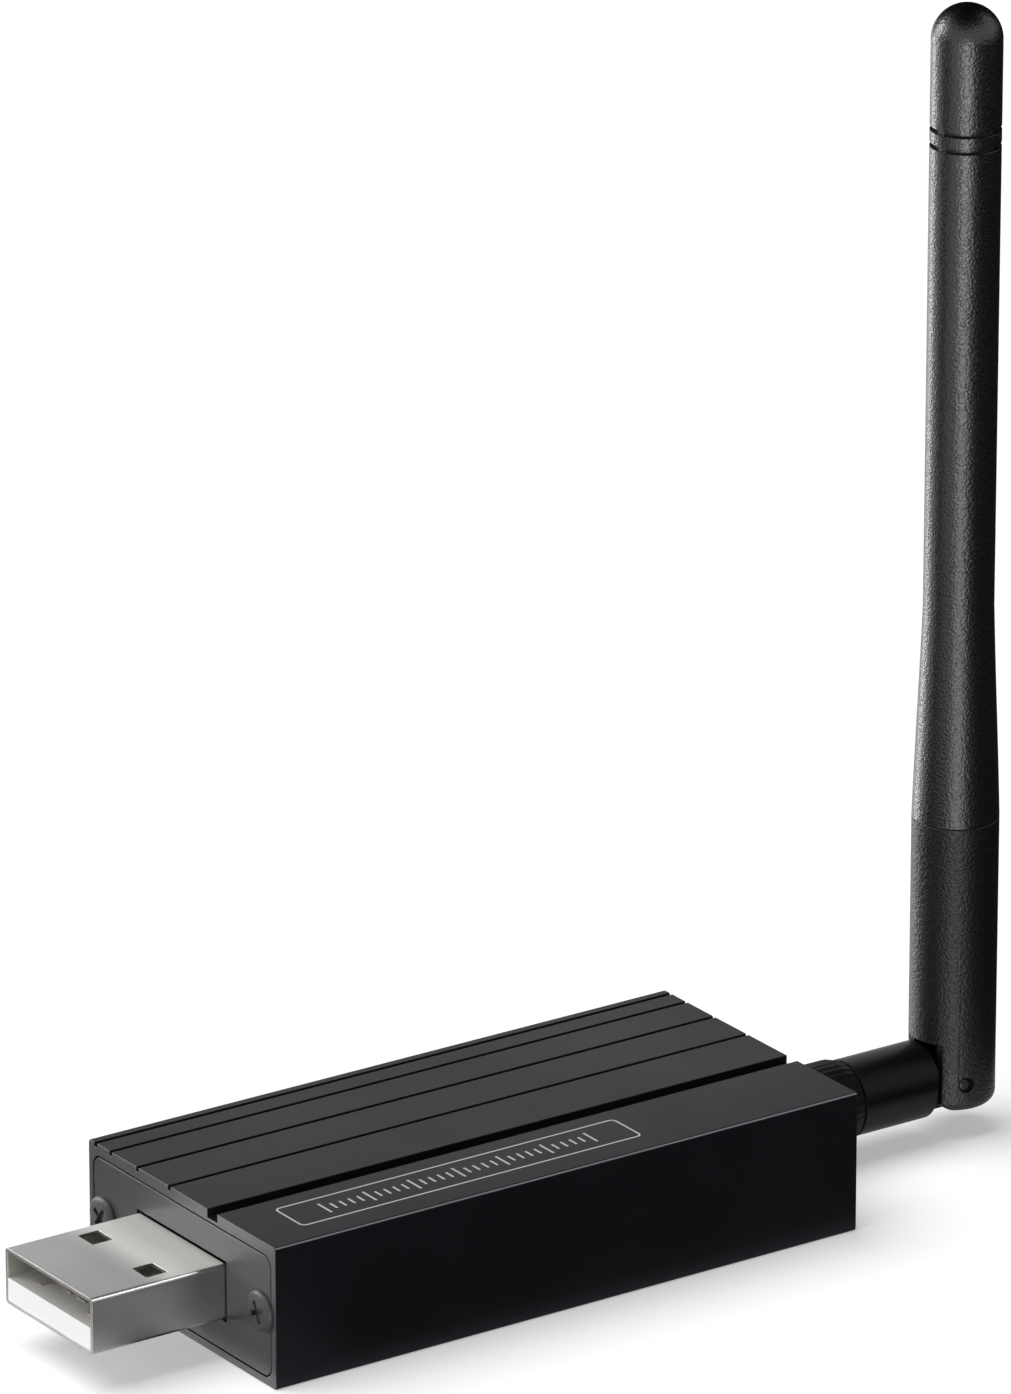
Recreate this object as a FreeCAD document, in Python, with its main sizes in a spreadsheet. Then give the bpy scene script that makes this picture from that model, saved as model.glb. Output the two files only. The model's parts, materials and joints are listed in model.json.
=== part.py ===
import FreeCAD, Part
import math
import os
import Sketcher

# USB radio stick: an extruded case with a USB-A plug at the front and, behind a
# coupling nut, a rod antenna on a swivel and a hinge. Millimetres. The origin is the
# middle of the case's underside, +X runs to the antenna and +Z is up.

doc = FreeCAD.newDocument("radio_stick")
sheet = doc.addObject("Spreadsheet::Sheet", "dims")
formulas = doc.addObject("Spreadsheet::Sheet", "places")

DRIVING = [
    # case
    ("case_length", 53.0),
    ("case_width", 25.5),
    ("case_height", 11.4),
    ("case_corner", 0.25),
    ("wall_top", 1.5),
    ("wall_side", 1.4),
    ("wall_bottom", 1.2),
    ("rim_top", 0.95),
    ("rim_side", 0.6),
    ("rim_bottom", 0.6),
    ("rim_corner", 1.0),
    ("groove_width", 0.32),
    ("groove_depth", 0.35),
    ("groove_one", 1.0),
    ("groove_two", 3.08),
    ("groove_three", 6.78),
    ("groove_four", 11.15),
    ("broad_groove_start", 16.36),
    ("broad_groove_width", 1.33),
    ("broad_groove_depth", 0.7),
    ("ledge_reach", 1.0),
    ("rib_reach", 0.8),
    ("rib_thickness", 0.7),
    # end plates and their screws
    ("plate_thickness", 1.2),
    ("plate_gap", 0.12),
    ("screw_inset", 2.0),
    ("screw_level", 5.7),
    ("screw_thread", 2.0),
    ("screw_length", 5.0),
    ("screw_tip", 0.5),
    ("screw_head", 3.3),
    ("screw_head_height", 0.4),
    ("screw_head_edge", 0.28),
    ("screw_hole_gap", 0.1),
    ("recess_width", 0.5),
    ("recess_span", 1.8),
    ("recess_depth", 0.35),
    ("port_wall", 0.72),
    ("port_gap", 0.03),
    ("port_mouth", 0.9),
    # plug
    ("plug_width", 12.0),
    ("plug_height", 4.5),
    ("plug_level", 5.53),
    ("plug_reach", 11.7),
    ("shell_length", 17.5),
    ("shell_wall", 0.3),
    ("shell_corner", 0.35),
    ("slot_gap", 0.12),
    ("window_width", 2.1),
    ("window_length", 1.8),
    ("window_spread", 3.72),
    ("window_back", 6.5),
    ("leg_back", 14.6),
    ("leg_width", 1.5),
    ("leg_tail", 0.5),
    ("leg_gap", 0.1),
    ("tongue_height", 1.84),
    ("block_back", 12.4),
    ("insulator_fit", 0.02),
    ("contact_width", 1.0),
    ("contact_height", 0.25),
    ("contact_sink", 0.2),
    ("contact_gap", 0.05),
    ("power_spread", 3.5),
    ("data_spread", 1.0),
    ("power_back", 1.2),
    ("data_back", 2.2),
    ("contact_overhang", 0.7),
    ("contact_foot", 0.9),
    # board and what stands on it
    ("board_thickness", 1.0),
    ("board_side_gap", 0.15),
    ("board_end_gap", 0.2),
    ("board_slot_gap", 0.1),
    ("module_length", 16.0),
    ("module_width", 13.0),
    ("module_thickness", 0.8),
    ("module_gap", 1.6),
    ("castellation_count", 10),
    ("castellation_radius", 0.3),
    ("castellation_pitch", 1.27),
    ("can_margin", 1.1),
    ("can_height", 1.7),
    ("can_wall", 0.2),
    ("can_corner", 0.4),
    ("bridge_size", 5.0),
    ("bridge_height", 0.85),
    ("bridge_gap", 3.2),
    ("bridge_dot", 0.5),
    ("regulator_length", 2.6),
    ("regulator_width", 4.6),
    ("regulator_height", 1.5),
    ("regulator_gap", 0.5),
    ("lead_reach", 0.9),
    ("lead_width", 0.5),
    ("lead_height", 0.3),
    ("lead_pitch", 1.5),
    ("tab_width", 1.7),
    ("crystal_length", 3.2),
    ("crystal_width", 2.5),
    ("crystal_height", 0.8),
    ("crystal_corner", 0.3),
    ("crystal_gap", 1.75),
    ("capacitor_length", 1.0),
    ("capacitor_width", 0.55),
    ("capacitor_height", 0.55),
    ("capacitor_pitch", 1.4),
    ("capacitor_side", 4.4),
    ("resistor_length", 1.0),
    ("resistor_width", 0.5),
    ("resistor_height", 0.35),
    ("resistor_pitch", 1.5),
    ("resistor_edge", 2.35),
    ("led_length", 1.6),
    ("led_width", 0.8),
    ("led_height", 0.7),
    ("led_edge", 1.6),
    # coaxial connector, measured from the rear face of the case
    ("connector_level", 4.7),
    ("jack_thread", 4.8),
    ("jack_reach", 5.6),
    ("jack_block_width", 5.8),
    ("jack_block_length", 5.0),
    ("jack_bore", 2.4),
    ("jack_hole_gap", 0.1),
    ("jack_face_back", 1.0),
    ("dielectric_fit", 0.02),
    ("contact_diameter", 0.9),
    ("socket_diameter", 0.52),
    ("socket_depth", 1.6),
    ("contact_tail", 0.3),
    ("tail_gap", 0.15),
    ("washer_diameter", 6.8),
    ("washer_thickness", 0.4),
    ("nut_flats", 6.35),
    ("nut_thickness", 1.5),
    ("nut_bevel", 0.2),
    ("thread_gap", 0.06),
    ("coupling_gap", 0.25),
    ("coupling_diameter", 6.64),
    ("coupling_length", 5.85),
    ("coupling_taper", 0.9),
    ("coupling_end", 6.1),
    ("coupling_flange", 1.1),
    ("coupling_bore_gap", 0.15),
    ("knurl_count", 36),
    ("knurl_depth", 0.14),
    ("knurl_width", 0.36),
    ("ferrule_flange", 1.0),
    ("ferrule_diameter", 4.5),
    ("stem_diameter", 3.2),
    ("stem_insert", 3.4),
    ("stem_fit", 0.02),
    ("swivel_gap", 0.15),
    ("ferrule_bore", 2.1),
    ("pin_diameter", 0.44),
    ("pin_entry", 0.8),
    # knuckle and fork, measured from the hinge pin
    ("barrel_diameter", 6.16),
    ("barrel_gap", 0.1),
    ("barrel_chamfer", 0.3),
    ("barrel_stop", 2.0),
    ("antenna_offset", 18.5),
    ("hinge_offset", 1.0),
    ("hinge_diameter", 1.0),
    ("hinge_gap", 0.05),
    ("hinge_fit", 0.02),
    ("hinge_recess", 0.22),
    ("hinge_recess_diameter", 1.3),
    ("hinge_round", 0.2),
    ("ear_drop", 2.35),
    ("ear_left", 2.6),
    ("fork_roof", 3.25),
    ("fork_slot", 2.8),
    ("fork_gap", 0.15),
    ("shoulder_gap", 0.2),
    ("feed_hole", 1.2),
    # antenna, measured up from the hinge pin
    ("base_diameter", 6.82),
    ("base_top", 21.28),
    ("base_round", 0.9),
    ("spigot_diameter", 4.9),
    ("spigot_length", 4.0),
    ("bore_diameter", 3.8),
    ("bore_floor", 12.0),
    ("feed_diameter", 2.0),
    ("feed_fit", 0.1),
    ("sleeve_diameter", 5.5),
    ("sleeve_fit", 0.03),
    ("spigot_gap", 0.2),
    ("taper_end", 38.67),
    ("antenna_reach", 86.67),
    ("ring_back", 9.67),
    ("ring_pitch", 1.3),
    ("ring_width", 0.3),
    ("ring_depth", 0.12),
    ("tip_wall", 1.2),
    ("coax_start", 3.6),
    ("coax_end", 46.0),
    ("brass_diameter", 3.4),
    ("brass_wall", 0.3),
    ("brass_seat", 1.28),
    ("wire_diameter", 0.6),
    ("wire_length", 26.0),
]

DERIVED = [
    ("half_width", "dims.case_width / 2"),
    ("front_face", "-dims.case_length / 2"),
    ("rear_face", "dims.case_length / 2"),
    ("inner_side", "half_width - dims.wall_side"),
    ("inner_top", "dims.case_height - dims.wall_top"),
    ("rim_y", "half_width - dims.rim_side"),
    ("rim_z", "dims.case_height - dims.rim_top"),
    ("screw_side", "half_width - dims.screw_inset"),
    ("port_radius", "dims.screw_thread / 2 + dims.port_gap"),
    ("port_outer", "port_radius + dims.port_wall"),
    ("plug_tip", "front_face - dims.plug_reach"),
    ("plug_side", "dims.plug_width / 2"),
    ("plug_bottom", "dims.plug_level - dims.plug_height / 2"),
    ("plug_top", "dims.plug_level + dims.plug_height / 2"),
    ("shell_rear", "plug_tip + dims.shell_length"),
    ("mouth_side", "plug_side - dims.shell_wall"),
    ("mouth_bottom", "plug_bottom + dims.shell_wall"),
    ("mouth_top", "plug_top - dims.shell_wall"),
    ("tongue_top", "mouth_bottom + dims.tongue_height"),
    ("contact_floor", "tongue_top - dims.contact_sink"),
    ("contact_half", "dims.contact_width / 2 + dims.contact_gap"),
    ("leg_x", "plug_tip + dims.leg_back"),
    ("board_top", "plug_bottom"),
    ("board_bottom", "board_top - dims.board_thickness"),
    ("board_front", "front_face + dims.plate_thickness + dims.board_end_gap"),
    ("board_rear", "rear_face - dims.plate_thickness - dims.board_end_gap"),
    ("board_side", "inner_side - dims.board_side_gap"),
    ("rib_bottom", "board_top + dims.board_slot_gap"),
    ("rib_top", "rib_bottom + dims.rib_thickness"),
    ("block_front", "rear_face - dims.plate_thickness - dims.jack_block_length"),
    ("module_rear", "block_front - dims.module_gap"),
    ("module_front", "module_rear - dims.module_length"),
    ("module_side", "dims.module_width / 2"),
    ("module_top", "board_top + dims.module_thickness"),
    ("bridge_rear", "module_front - dims.bridge_gap"),
    ("bridge_x", "bridge_rear - dims.bridge_size / 2"),
    ("port_inner", "screw_side - port_outer"),
    ("regulator_y", "port_inner - dims.regulator_gap - dims.regulator_width / 2"),
    ("crystal_y", "port_inner - dims.crystal_gap - dims.crystal_width / 2"),
    ("resistor_y", "board_side - dims.resistor_edge - dims.resistor_width / 2"),
    ("led_y", "board_side - dims.led_edge - dims.led_width / 2"),
    ("tail_radius", "dims.contact_diameter / 2"),
    ("tail_x", "-dims.plate_thickness - dims.jack_block_length / 2"),
    ("jack_radius", "dims.jack_thread / 2"),
    ("jack_face", "dims.jack_reach - dims.jack_face_back"),
    ("nut_start", "dims.washer_thickness"),
    ("nut_end", "nut_start + dims.nut_thickness"),
    ("coupling_start", "nut_end + dims.coupling_gap"),
    ("coupling_stop", "coupling_start + dims.coupling_length"),
    ("coupling_seat", "coupling_stop - dims.coupling_flange"),
    ("ferrule_seat", "coupling_seat - dims.swivel_gap"),
    ("ferrule_start", "ferrule_seat - dims.ferrule_flange"),
    ("barrel_start", "coupling_stop + dims.barrel_gap"),
    ("stem_end", "barrel_start + dims.stem_insert"),
    ("hinge_x", "dims.antenna_offset - dims.hinge_offset"),
    ("barrel_radius", "dims.barrel_diameter / 2"),
    ("barrel_end", "hinge_x - dims.barrel_stop"),
    ("shoulder_radius", "dims.ear_drop + dims.shoulder_gap"),
    ("tongue_radius", "dims.ear_drop"),
    ("tongue_half", "dims.fork_slot / 2 - dims.fork_gap"),
    ("antenna_x", "rear_face + dims.antenna_offset"),
    ("base_radius", "dims.base_diameter / 2"),
    ("ear_inset", "dims.ear_left - dims.hinge_offset"),
    ("spigot_top", "dims.base_top + dims.spigot_length"),
    ("sleeve_radius", "dims.sleeve_diameter / 2"),
    ("dome_level", "dims.antenna_reach - sleeve_radius"),
    ("ring_level", "dims.antenna_reach - dims.ring_back"),
    ("brass_start", "spigot_top - dims.brass_seat"),
    ("coax_radius", "dims.feed_diameter / 2 - dims.feed_fit"),
]

for row, (alias, size) in enumerate(DRIVING, start=1):
    sheet.set("A%d" % row, alias)
    sheet.set("B%d" % row, str(size))
    sheet.setAlias("B%d" % row, alias)
for row, (alias, formula) in enumerate(DERIVED, start=1):
    formulas.set("A%d" % row, alias)
    formulas.set("B%d" % row, "=" + formula)
    formulas.setAlias("B%d" % row, alias)
doc.recompute()

sub_parts = []


def value_of(expression):
    """Number that a formula over the two sheets gives now."""
    return float(formulas.evalExpression(expression))


# helpers for sketches


def origin_plane(body, role):
    return [plane for plane in body.Origin.OriginFeatures if plane.Role == role][0]


def new_body(label):
    body = doc.addObject("PartDesign::Body", label)
    body.Label = label
    return body


def place(item, x="0", y="0", z="0"):
    """Tie an object's position to three formulas."""
    for axis, formula in (("x", x), ("y", y), ("z", z)):
        item.setExpression("Placement.Base." + axis, formula)


def new_sketch(body, name, role, offset="0"):
    """Sketch on one of the body's own origin planes, moved along its normal."""
    sketch = body.newObject("Sketcher::SketchObject", name)
    sketch.AttachmentSupport = (origin_plane(body, role), [""])
    sketch.MapMode = "FlatFace"
    sketch.setExpression("AttachmentOffset.Base.z", offset)
    return sketch


def bind(sketch, kind, items, formula):
    """Add one dimension and tie it to a formula."""
    number = sketch.addConstraint(Sketcher.Constraint(kind, *items, value_of(formula)))
    sketch.setExpression("Constraints[%d]" % number, formula)


def arc_between(start, end, radius):
    """Short arc from start to end with its centre on the left of the way between them."""
    chord = end - start
    middle = (start + end) / 2
    height = math.sqrt(max(radius ** 2 - (chord.Length / 2) ** 2, 0.0))
    left = FreeCAD.Vector(-chord.y, chord.x, 0).normalize()
    centre = middle + left * height
    first = math.atan2(start.y - centre.y, start.x - centre.x)
    last = math.atan2(end.y - centre.y, end.x - centre.x)
    circle = Part.Circle(centre, FreeCAD.Vector(0, 0, 1), radius)
    return Part.ArcOfCircle(circle, first, last)


def draw_loop(sketch, corners):
    """Closed outline. A corner is (x, y), with a third formula where an arc leaves it."""
    first = sketch.GeometryCount
    count = len(corners)
    spots = [FreeCAD.Vector(value_of(corner[0]), value_of(corner[1]), 0) for corner in corners]
    for number, corner in enumerate(corners):
        start = spots[number]
        end = spots[(number + 1) % count]
        if len(corner) == 3:
            sketch.addGeometry(arc_between(start, end, value_of(corner[2])), False)
        else:
            sketch.addGeometry(Part.LineSegment(start, end), False)
    for number in range(count):
        after = first + (number + 1) % count
        sketch.addConstraint(Sketcher.Constraint("Coincident", first + number, 2, after, 1))
    for number, corner in enumerate(corners):
        bind(sketch, "DistanceX", (-1, 1, first + number, 1), corner[0])
        bind(sketch, "DistanceY", (-1, 1, first + number, 1), corner[1])
        if len(corner) == 3:
            bind(sketch, "Radius", (first + number,), corner[2])


def draw_rectangle(sketch, left, right, low, high):
    draw_loop(sketch, [(left, low), (right, low), (right, high), (left, high)])


def draw_round_rectangle(sketch, left, right, low, high, radius):
    """Rectangle whose four corners are arcs of one radius."""
    draw_loop(sketch, [
        (left + " + " + radius, low),
        (right + " - " + radius, low, radius),
        (right, low + " + " + radius),
        (right, high + " - " + radius, radius),
        (right + " - " + radius, high),
        (left + " + " + radius, high, radius),
        (left, high + " - " + radius),
        (left, low + " + " + radius, radius),
    ])


def draw_circle(sketch, x, y, radius):
    centre = FreeCAD.Vector(value_of(x), value_of(y), 0)
    circle = Part.Circle(centre, FreeCAD.Vector(0, 0, 1), value_of(radius))
    number = sketch.addGeometry(circle, False)
    bind(sketch, "DistanceX", (-1, 1, number, 3), x)
    bind(sketch, "DistanceY", (-1, 1, number, 3), y)
    bind(sketch, "Radius", (number,), radius)


# helpers for features


def pad(body, sketch, length, centred=False, flipped=False):
    feature = body.newObject("PartDesign::Pad", sketch.Name + "_pad")
    feature.Profile = sketch
    feature.Midplane = centred
    feature.Reversed = flipped
    feature.setExpression("Length", length)
    doc.recompute()
    return feature


def pocket(body, sketch, length, centred=False, flipped=False):
    """Cut the sketch into the body and make sure that it took something away."""
    before = body.Shape.Volume
    feature = body.newObject("PartDesign::Pocket", sketch.Name + "_pocket")
    feature.Profile = sketch
    feature.Midplane = centred
    feature.Reversed = flipped
    feature.setExpression("Length", length)
    doc.recompute()
    if not body.Shape.Volume < before:
        raise ValueError("%s cuts nothing" % feature.Name)
    return feature


def revolve(body, sketch, axis):
    feature = body.newObject("PartDesign::Revolution", sketch.Name + "_turn")
    feature.Profile = sketch
    feature.ReferenceAxis = (sketch, [axis])
    feature.Angle = 360.0
    doc.recompute()
    return feature


def mirror_feature(body, feature, role):
    mirrored = body.newObject("PartDesign::Mirrored", feature.Name + "_mirrored")
    mirrored.Originals = [feature]
    mirrored.MirrorPlane = (origin_plane(body, role), [""])
    body.Tip = mirrored
    doc.recompute()
    return mirrored


def edges_where(shape, test):
    """Names of the edges whose two ends both pass the test."""
    names = []
    for number, edge in enumerate(shape.Edges, start=1):
        if all(test(vertex.Point) for vertex in edge.Vertexes):
            names.append("Edge%d" % number)
    return names


def round_edges(body, names, radius):
    base = body.Tip
    feature = body.newObject("PartDesign::Fillet", body.Name + "_round")
    feature.Base = (base, names)
    feature.setExpression("Radius", radius)
    doc.recompute()
    return feature


def box(name, length, width, height, x, y, z):
    """Part box centred across Y, from x forward and from z up."""
    item = doc.addObject("Part::Box", name)
    item.setExpression("Length", length)
    item.setExpression("Width", width)
    item.setExpression("Height", height)
    place(item, x, "(%s) - (%s) / 2" % (y, width), z)
    return item


def across(name, source, normal):
    """Twin of a part behind the middle plane that the normal names."""
    twin = doc.addObject("Part::Mirroring", name)
    twin.Source = source
    twin.Normal = normal
    return twin


def group(label, members):
    """Several separate solids that share one name."""
    compound = doc.addObject("Part::Compound", label)
    compound.Label = label
    compound.Links = members
    return compound


ACROSS_Y = FreeCAD.Vector(0, 1, 0)
ACROSS_X = FreeCAD.Vector(1, 0, 0)


# case


def draw_groove(sketch, middle):
    """Thin groove in the top, named by its distance from the left edge."""
    centre = "places.half_width - " + middle
    draw_rectangle(sketch, centre + " - dims.groove_width / 2", centre + " + dims.groove_width / 2",
                   "dims.case_height - dims.groove_depth", "dims.case_height + dims.groove_depth")


def draw_cavity(sketch):
    """Inside of the extrusion: a ledge under each board edge and a rib over it."""
    ledge = "(places.inner_side - dims.ledge_reach)"
    rib = "(places.inner_side - dims.rib_reach)"
    side = "places.inner_side"
    half = [
        (ledge, "dims.wall_bottom"),
        (ledge, "places.board_bottom"),
        (side, "places.board_bottom"),
        (side, "places.rib_bottom"),
        (rib, "places.rib_bottom"),
        (rib, "places.rib_top"),
        (side, "places.rib_top"),
        (side, "places.inner_top"),
    ]
    draw_loop(sketch, half + [("-" + y, z) for y, z in reversed(half)])


def build_case():
    body = new_body("case_extrusion")
    outside = new_sketch(body, "case_outside", "YZ_Plane")
    draw_rectangle(outside, "-places.half_width", "places.half_width", "0", "dims.case_height")
    pad(body, outside, "dims.case_length", centred=True)
    corners = edges_where(body.Shape, lambda spot: True)
    corners = [name for name in corners
               if abs(body.Shape.getElement(name).Length - value_of("dims.case_length")) < 0.001]
    round_edges(body, corners, "dims.case_corner")
    grooves = new_sketch(body, "case_grooves", "YZ_Plane")
    for middle in ("dims.groove_one", "dims.groove_two", "dims.groove_three", "dims.groove_four"):
        draw_groove(grooves, middle)
    draw_rectangle(grooves,
                   "places.half_width - dims.broad_groove_start - dims.broad_groove_width",
                   "places.half_width - dims.broad_groove_start",
                   "dims.case_height - dims.broad_groove_depth",
                   "dims.case_height + dims.broad_groove_depth")
    pocket(body, grooves, "dims.case_length", centred=True)
    cavity = new_sketch(body, "case_cavity", "YZ_Plane")
    draw_cavity(cavity)
    pocket(body, cavity, "dims.case_length", centred=True)
    bosses = new_sketch(body, "case_screw_ports", "YZ_Plane")
    draw_circle(bosses, "places.screw_side", "dims.screw_level", "places.port_outer")
    draw_circle(bosses, "-places.screw_side", "dims.screw_level", "places.port_outer")
    pad(body, bosses, "dims.case_length - 2 * dims.plate_thickness", centred=True)
    ports = new_sketch(body, "case_port_holes", "YZ_Plane")
    draw_circle(ports, "places.screw_side", "dims.screw_level", "places.port_radius")
    draw_circle(ports, "-places.screw_side", "dims.screw_level", "places.port_radius")
    pocket(body, ports, "dims.case_length", centred=True)
    mouths = new_sketch(body, "case_port_mouths", "YZ_Plane")
    inside = "places.screw_side - places.port_outer - dims.port_gap"
    for left, right in ((inside, "places.screw_side"), ("-places.screw_side", "-(" + inside + ")")):
        draw_rectangle(mouths, left, right, "dims.screw_level - dims.port_mouth / 2",
                       "dims.screw_level + dims.port_mouth / 2")
    pocket(body, mouths, "dims.case_length", centred=True)
    seat = new_sketch(body, "case_plate_seat", "YZ_Plane", "places.rear_face")
    draw_round_rectangle(seat, "-places.rim_y", "places.rim_y", "dims.rim_bottom", "places.rim_z",
                         "dims.rim_corner")
    mirror_feature(body, pocket(body, seat, "dims.plate_thickness"), "YZ_Plane")
    sub_parts.append(body)


def draw_plate(sketch):
    """Outline of an end plate, a gap smaller than its seat, with its two screw holes."""
    side = "places.rim_y - dims.plate_gap"
    draw_round_rectangle(sketch, "-(" + side + ")", side, "dims.rim_bottom + dims.plate_gap",
                         "places.rim_z - dims.plate_gap", "(dims.rim_corner - dims.plate_gap)")
    hole = "dims.screw_thread / 2 + dims.screw_hole_gap"
    draw_circle(sketch, "places.screw_side", "dims.screw_level", hole)
    draw_circle(sketch, "-places.screw_side", "dims.screw_level", hole)


def build_plates():
    front = new_body("front_plate")
    outline = new_sketch(front, "front_plate_outline", "YZ_Plane", "places.front_face")
    draw_plate(outline)
    draw_rectangle(outline, "-places.plug_side - dims.slot_gap", "places.plug_side + dims.slot_gap",
                   "places.plug_bottom - dims.slot_gap", "places.plug_top + dims.slot_gap")
    pad(front, outline, "dims.plate_thickness")
    rear = new_body("rear_plate")
    outline = new_sketch(rear, "rear_plate_outline", "YZ_Plane",
                         "places.rear_face - dims.plate_thickness")
    draw_plate(outline)
    draw_circle(outline, "0", "dims.connector_level", "places.jack_radius + dims.jack_hole_gap")
    pad(rear, outline, "dims.plate_thickness")
    sub_parts.extend([front, rear])


def build_screws():
    """Pan-head screw with a cross recess, and its three twins."""
    screw = new_body("plate_screw")
    place(screw, "places.front_face", "places.screw_side", "dims.screw_level")
    profile = new_sketch(screw, "screw_profile", "XY_Plane")
    draw_loop(profile, [
        ("-dims.screw_head_height", "0"),
        ("dims.screw_length", "0"),
        ("dims.screw_length", "dims.screw_thread / 2 - dims.screw_tip"),
        ("dims.screw_length - dims.screw_tip", "dims.screw_thread / 2"),
        ("0", "dims.screw_thread / 2"),
        ("0", "dims.screw_head / 2"),
        ("-dims.screw_head_height + dims.screw_head_edge", "dims.screw_head / 2",
         "dims.screw_head_edge"),
        ("-dims.screw_head_height", "dims.screw_head / 2 - dims.screw_head_edge"),
    ])
    revolve(screw, profile, "H_Axis")
    recess = new_sketch(screw, "screw_recess", "YZ_Plane", "-dims.screw_head_height")
    arm = "dims.recess_span / 2"
    edge = "dims.recess_width / 2"
    quarter = [(arm, edge), (edge, edge), (edge, arm)]
    signs = (("", "", False), ("-", "", True), ("-", "-", False), ("", "-", True))
    corners = []
    for left, low, turned in signs:
        corners += [(left + y, low + z) for y, z in (reversed(quarter) if turned else quarter)]
    draw_loop(recess, corners)
    pocket(screw, recess, "dims.recess_depth", flipped=True)
    front = group("front_screws", [screw, across("plate_screw_right", screw, ACROSS_Y)])
    rear = across("rear_screws", front, ACROSS_X)
    rear.Label = "rear_screws"
    sub_parts.extend([front, rear])


# plug


def build_shell():
    """Folded shell with windows above and below and a solder leg in each side."""
    body = new_body("usb_shell")
    outside = new_sketch(body, "shell_outside", "YZ_Plane", "places.plug_tip")
    draw_round_rectangle(outside, "-places.plug_side", "places.plug_side", "places.plug_bottom",
                         "places.plug_top", "dims.shell_corner")
    pad(body, outside, "dims.shell_length")
    legs = new_sketch(body, "shell_legs", "XY_Plane", "places.plug_bottom + dims.shell_corner")
    front = "places.leg_x - dims.leg_width / 2"
    back = "places.leg_x + dims.leg_width / 2"
    draw_rectangle(legs, front, back, "places.mouth_side", "places.plug_side")
    draw_rectangle(legs, front, back, "-places.plug_side", "-places.mouth_side")
    pad(body, legs, "dims.shell_corner + dims.board_thickness + dims.leg_tail", flipped=True)
    mouth = new_sketch(body, "shell_mouth", "YZ_Plane", "places.plug_tip")
    draw_rectangle(mouth, "-places.mouth_side", "places.mouth_side", "places.mouth_bottom",
                   "places.mouth_top")
    pocket(body, mouth, "dims.shell_length", flipped=True)
    windows = new_sketch(body, "shell_windows", "XY_Plane", "dims.plug_level")
    front = "places.plug_tip + dims.window_back - dims.window_length / 2"
    back = "places.plug_tip + dims.window_back + dims.window_length / 2"
    near = "dims.window_spread - dims.window_width / 2"
    far = "dims.window_spread + dims.window_width / 2"
    draw_rectangle(windows, front, back, near, far)
    draw_rectangle(windows, front, back, "-(" + far + ")", "-(" + near + ")")
    pocket(body, windows, "2 * dims.plug_height", centred=True)
    sub_parts.append(body)


def build_insulator():
    """Tongue with four contact channels that run on through the rear block."""
    body = new_body("usb_insulator")
    side = new_sketch(body, "insulator_side", "XZ_Plane")
    block = "places.plug_tip + dims.block_back"
    draw_loop(side, [
        ("places.plug_tip", "places.mouth_bottom"),
        ("places.shell_rear", "places.mouth_bottom"),
        ("places.shell_rear", "places.mouth_top - dims.insulator_fit"),
        (block, "places.mouth_top - dims.insulator_fit"),
        (block, "places.tongue_top"),
        ("places.plug_tip", "places.tongue_top"),
    ])
    pad(body, side, "2 * (places.mouth_side - dims.insulator_fit)", centred=True)
    for name, spread, back in (("power", "dims.power_spread", "dims.power_back"),
                               ("data", "dims.data_spread", "dims.data_back")):
        channels = new_sketch(body, name + "_channels", "YZ_Plane",
                              "places.plug_tip + %s - dims.contact_gap" % back)
        low = "places.contact_floor"
        high = "places.contact_floor + dims.contact_height + dims.contact_gap"
        for left, right in ((spread + " - places.contact_half", spread + " + places.contact_half"),
                            ("-" + spread + " - places.contact_half",
                             "-" + spread + " + places.contact_half")):
            draw_rectangle(channels, left, right, low, high)
        pocket(body, channels, "dims.shell_length", flipped=True)
    sub_parts.append(body)


def contact(name, spread, back):
    """Strip that runs along its channel, steps down behind the block and ends in a foot."""
    body = new_body(name)
    place(body, y=spread)
    side = new_sketch(body, name + "_side", "XZ_Plane")
    heel = "places.shell_rear + dims.contact_overhang"
    floor = "places.contact_floor"
    draw_loop(side, [
        ("places.plug_tip + " + back, floor),
        (heel + " - dims.contact_height", floor),
        (heel + " - dims.contact_height", "places.board_top"),
        (heel + " - dims.contact_height + dims.contact_foot", "places.board_top"),
        (heel + " - dims.contact_height + dims.contact_foot",
         "places.board_top + dims.contact_height"),
        (heel, "places.board_top + dims.contact_height"),
        (heel, floor + " + dims.contact_height"),
        ("places.plug_tip + " + back, floor + " + dims.contact_height"),
    ])
    pad(body, side, "dims.contact_width", centred=True)
    return body


def build_contacts():
    power = contact("power_contact", "dims.power_spread", "dims.power_back")
    data = contact("data_contact", "dims.data_spread", "dims.data_back")
    sub_parts.append(group("usb_contacts", [
        power,
        data,
        across("data_contact_right", data, ACROSS_Y),
        across("power_contact_right", power, ACROSS_Y),
    ]))


# board


def build_board():
    body = new_body("main_board")
    outline = new_sketch(body, "board_outline", "XY_Plane", "places.board_bottom")
    draw_rectangle(outline, "places.board_front", "places.board_rear", "-places.board_side",
                   "places.board_side")
    for near, far in (("places.mouth_side - dims.leg_gap", "places.plug_side + dims.leg_gap"),
                      ("-places.plug_side - dims.leg_gap", "-places.mouth_side + dims.leg_gap")):
        draw_rectangle(outline, "places.leg_x - dims.leg_width / 2 - dims.leg_gap",
                       "places.leg_x + dims.leg_width / 2 + dims.leg_gap", near, far)
    draw_circle(outline, "places.rear_face + places.tail_x", "0",
                "places.tail_radius + dims.tail_gap")
    pad(body, outline, "dims.board_thickness")
    sub_parts.append(body)


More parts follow.
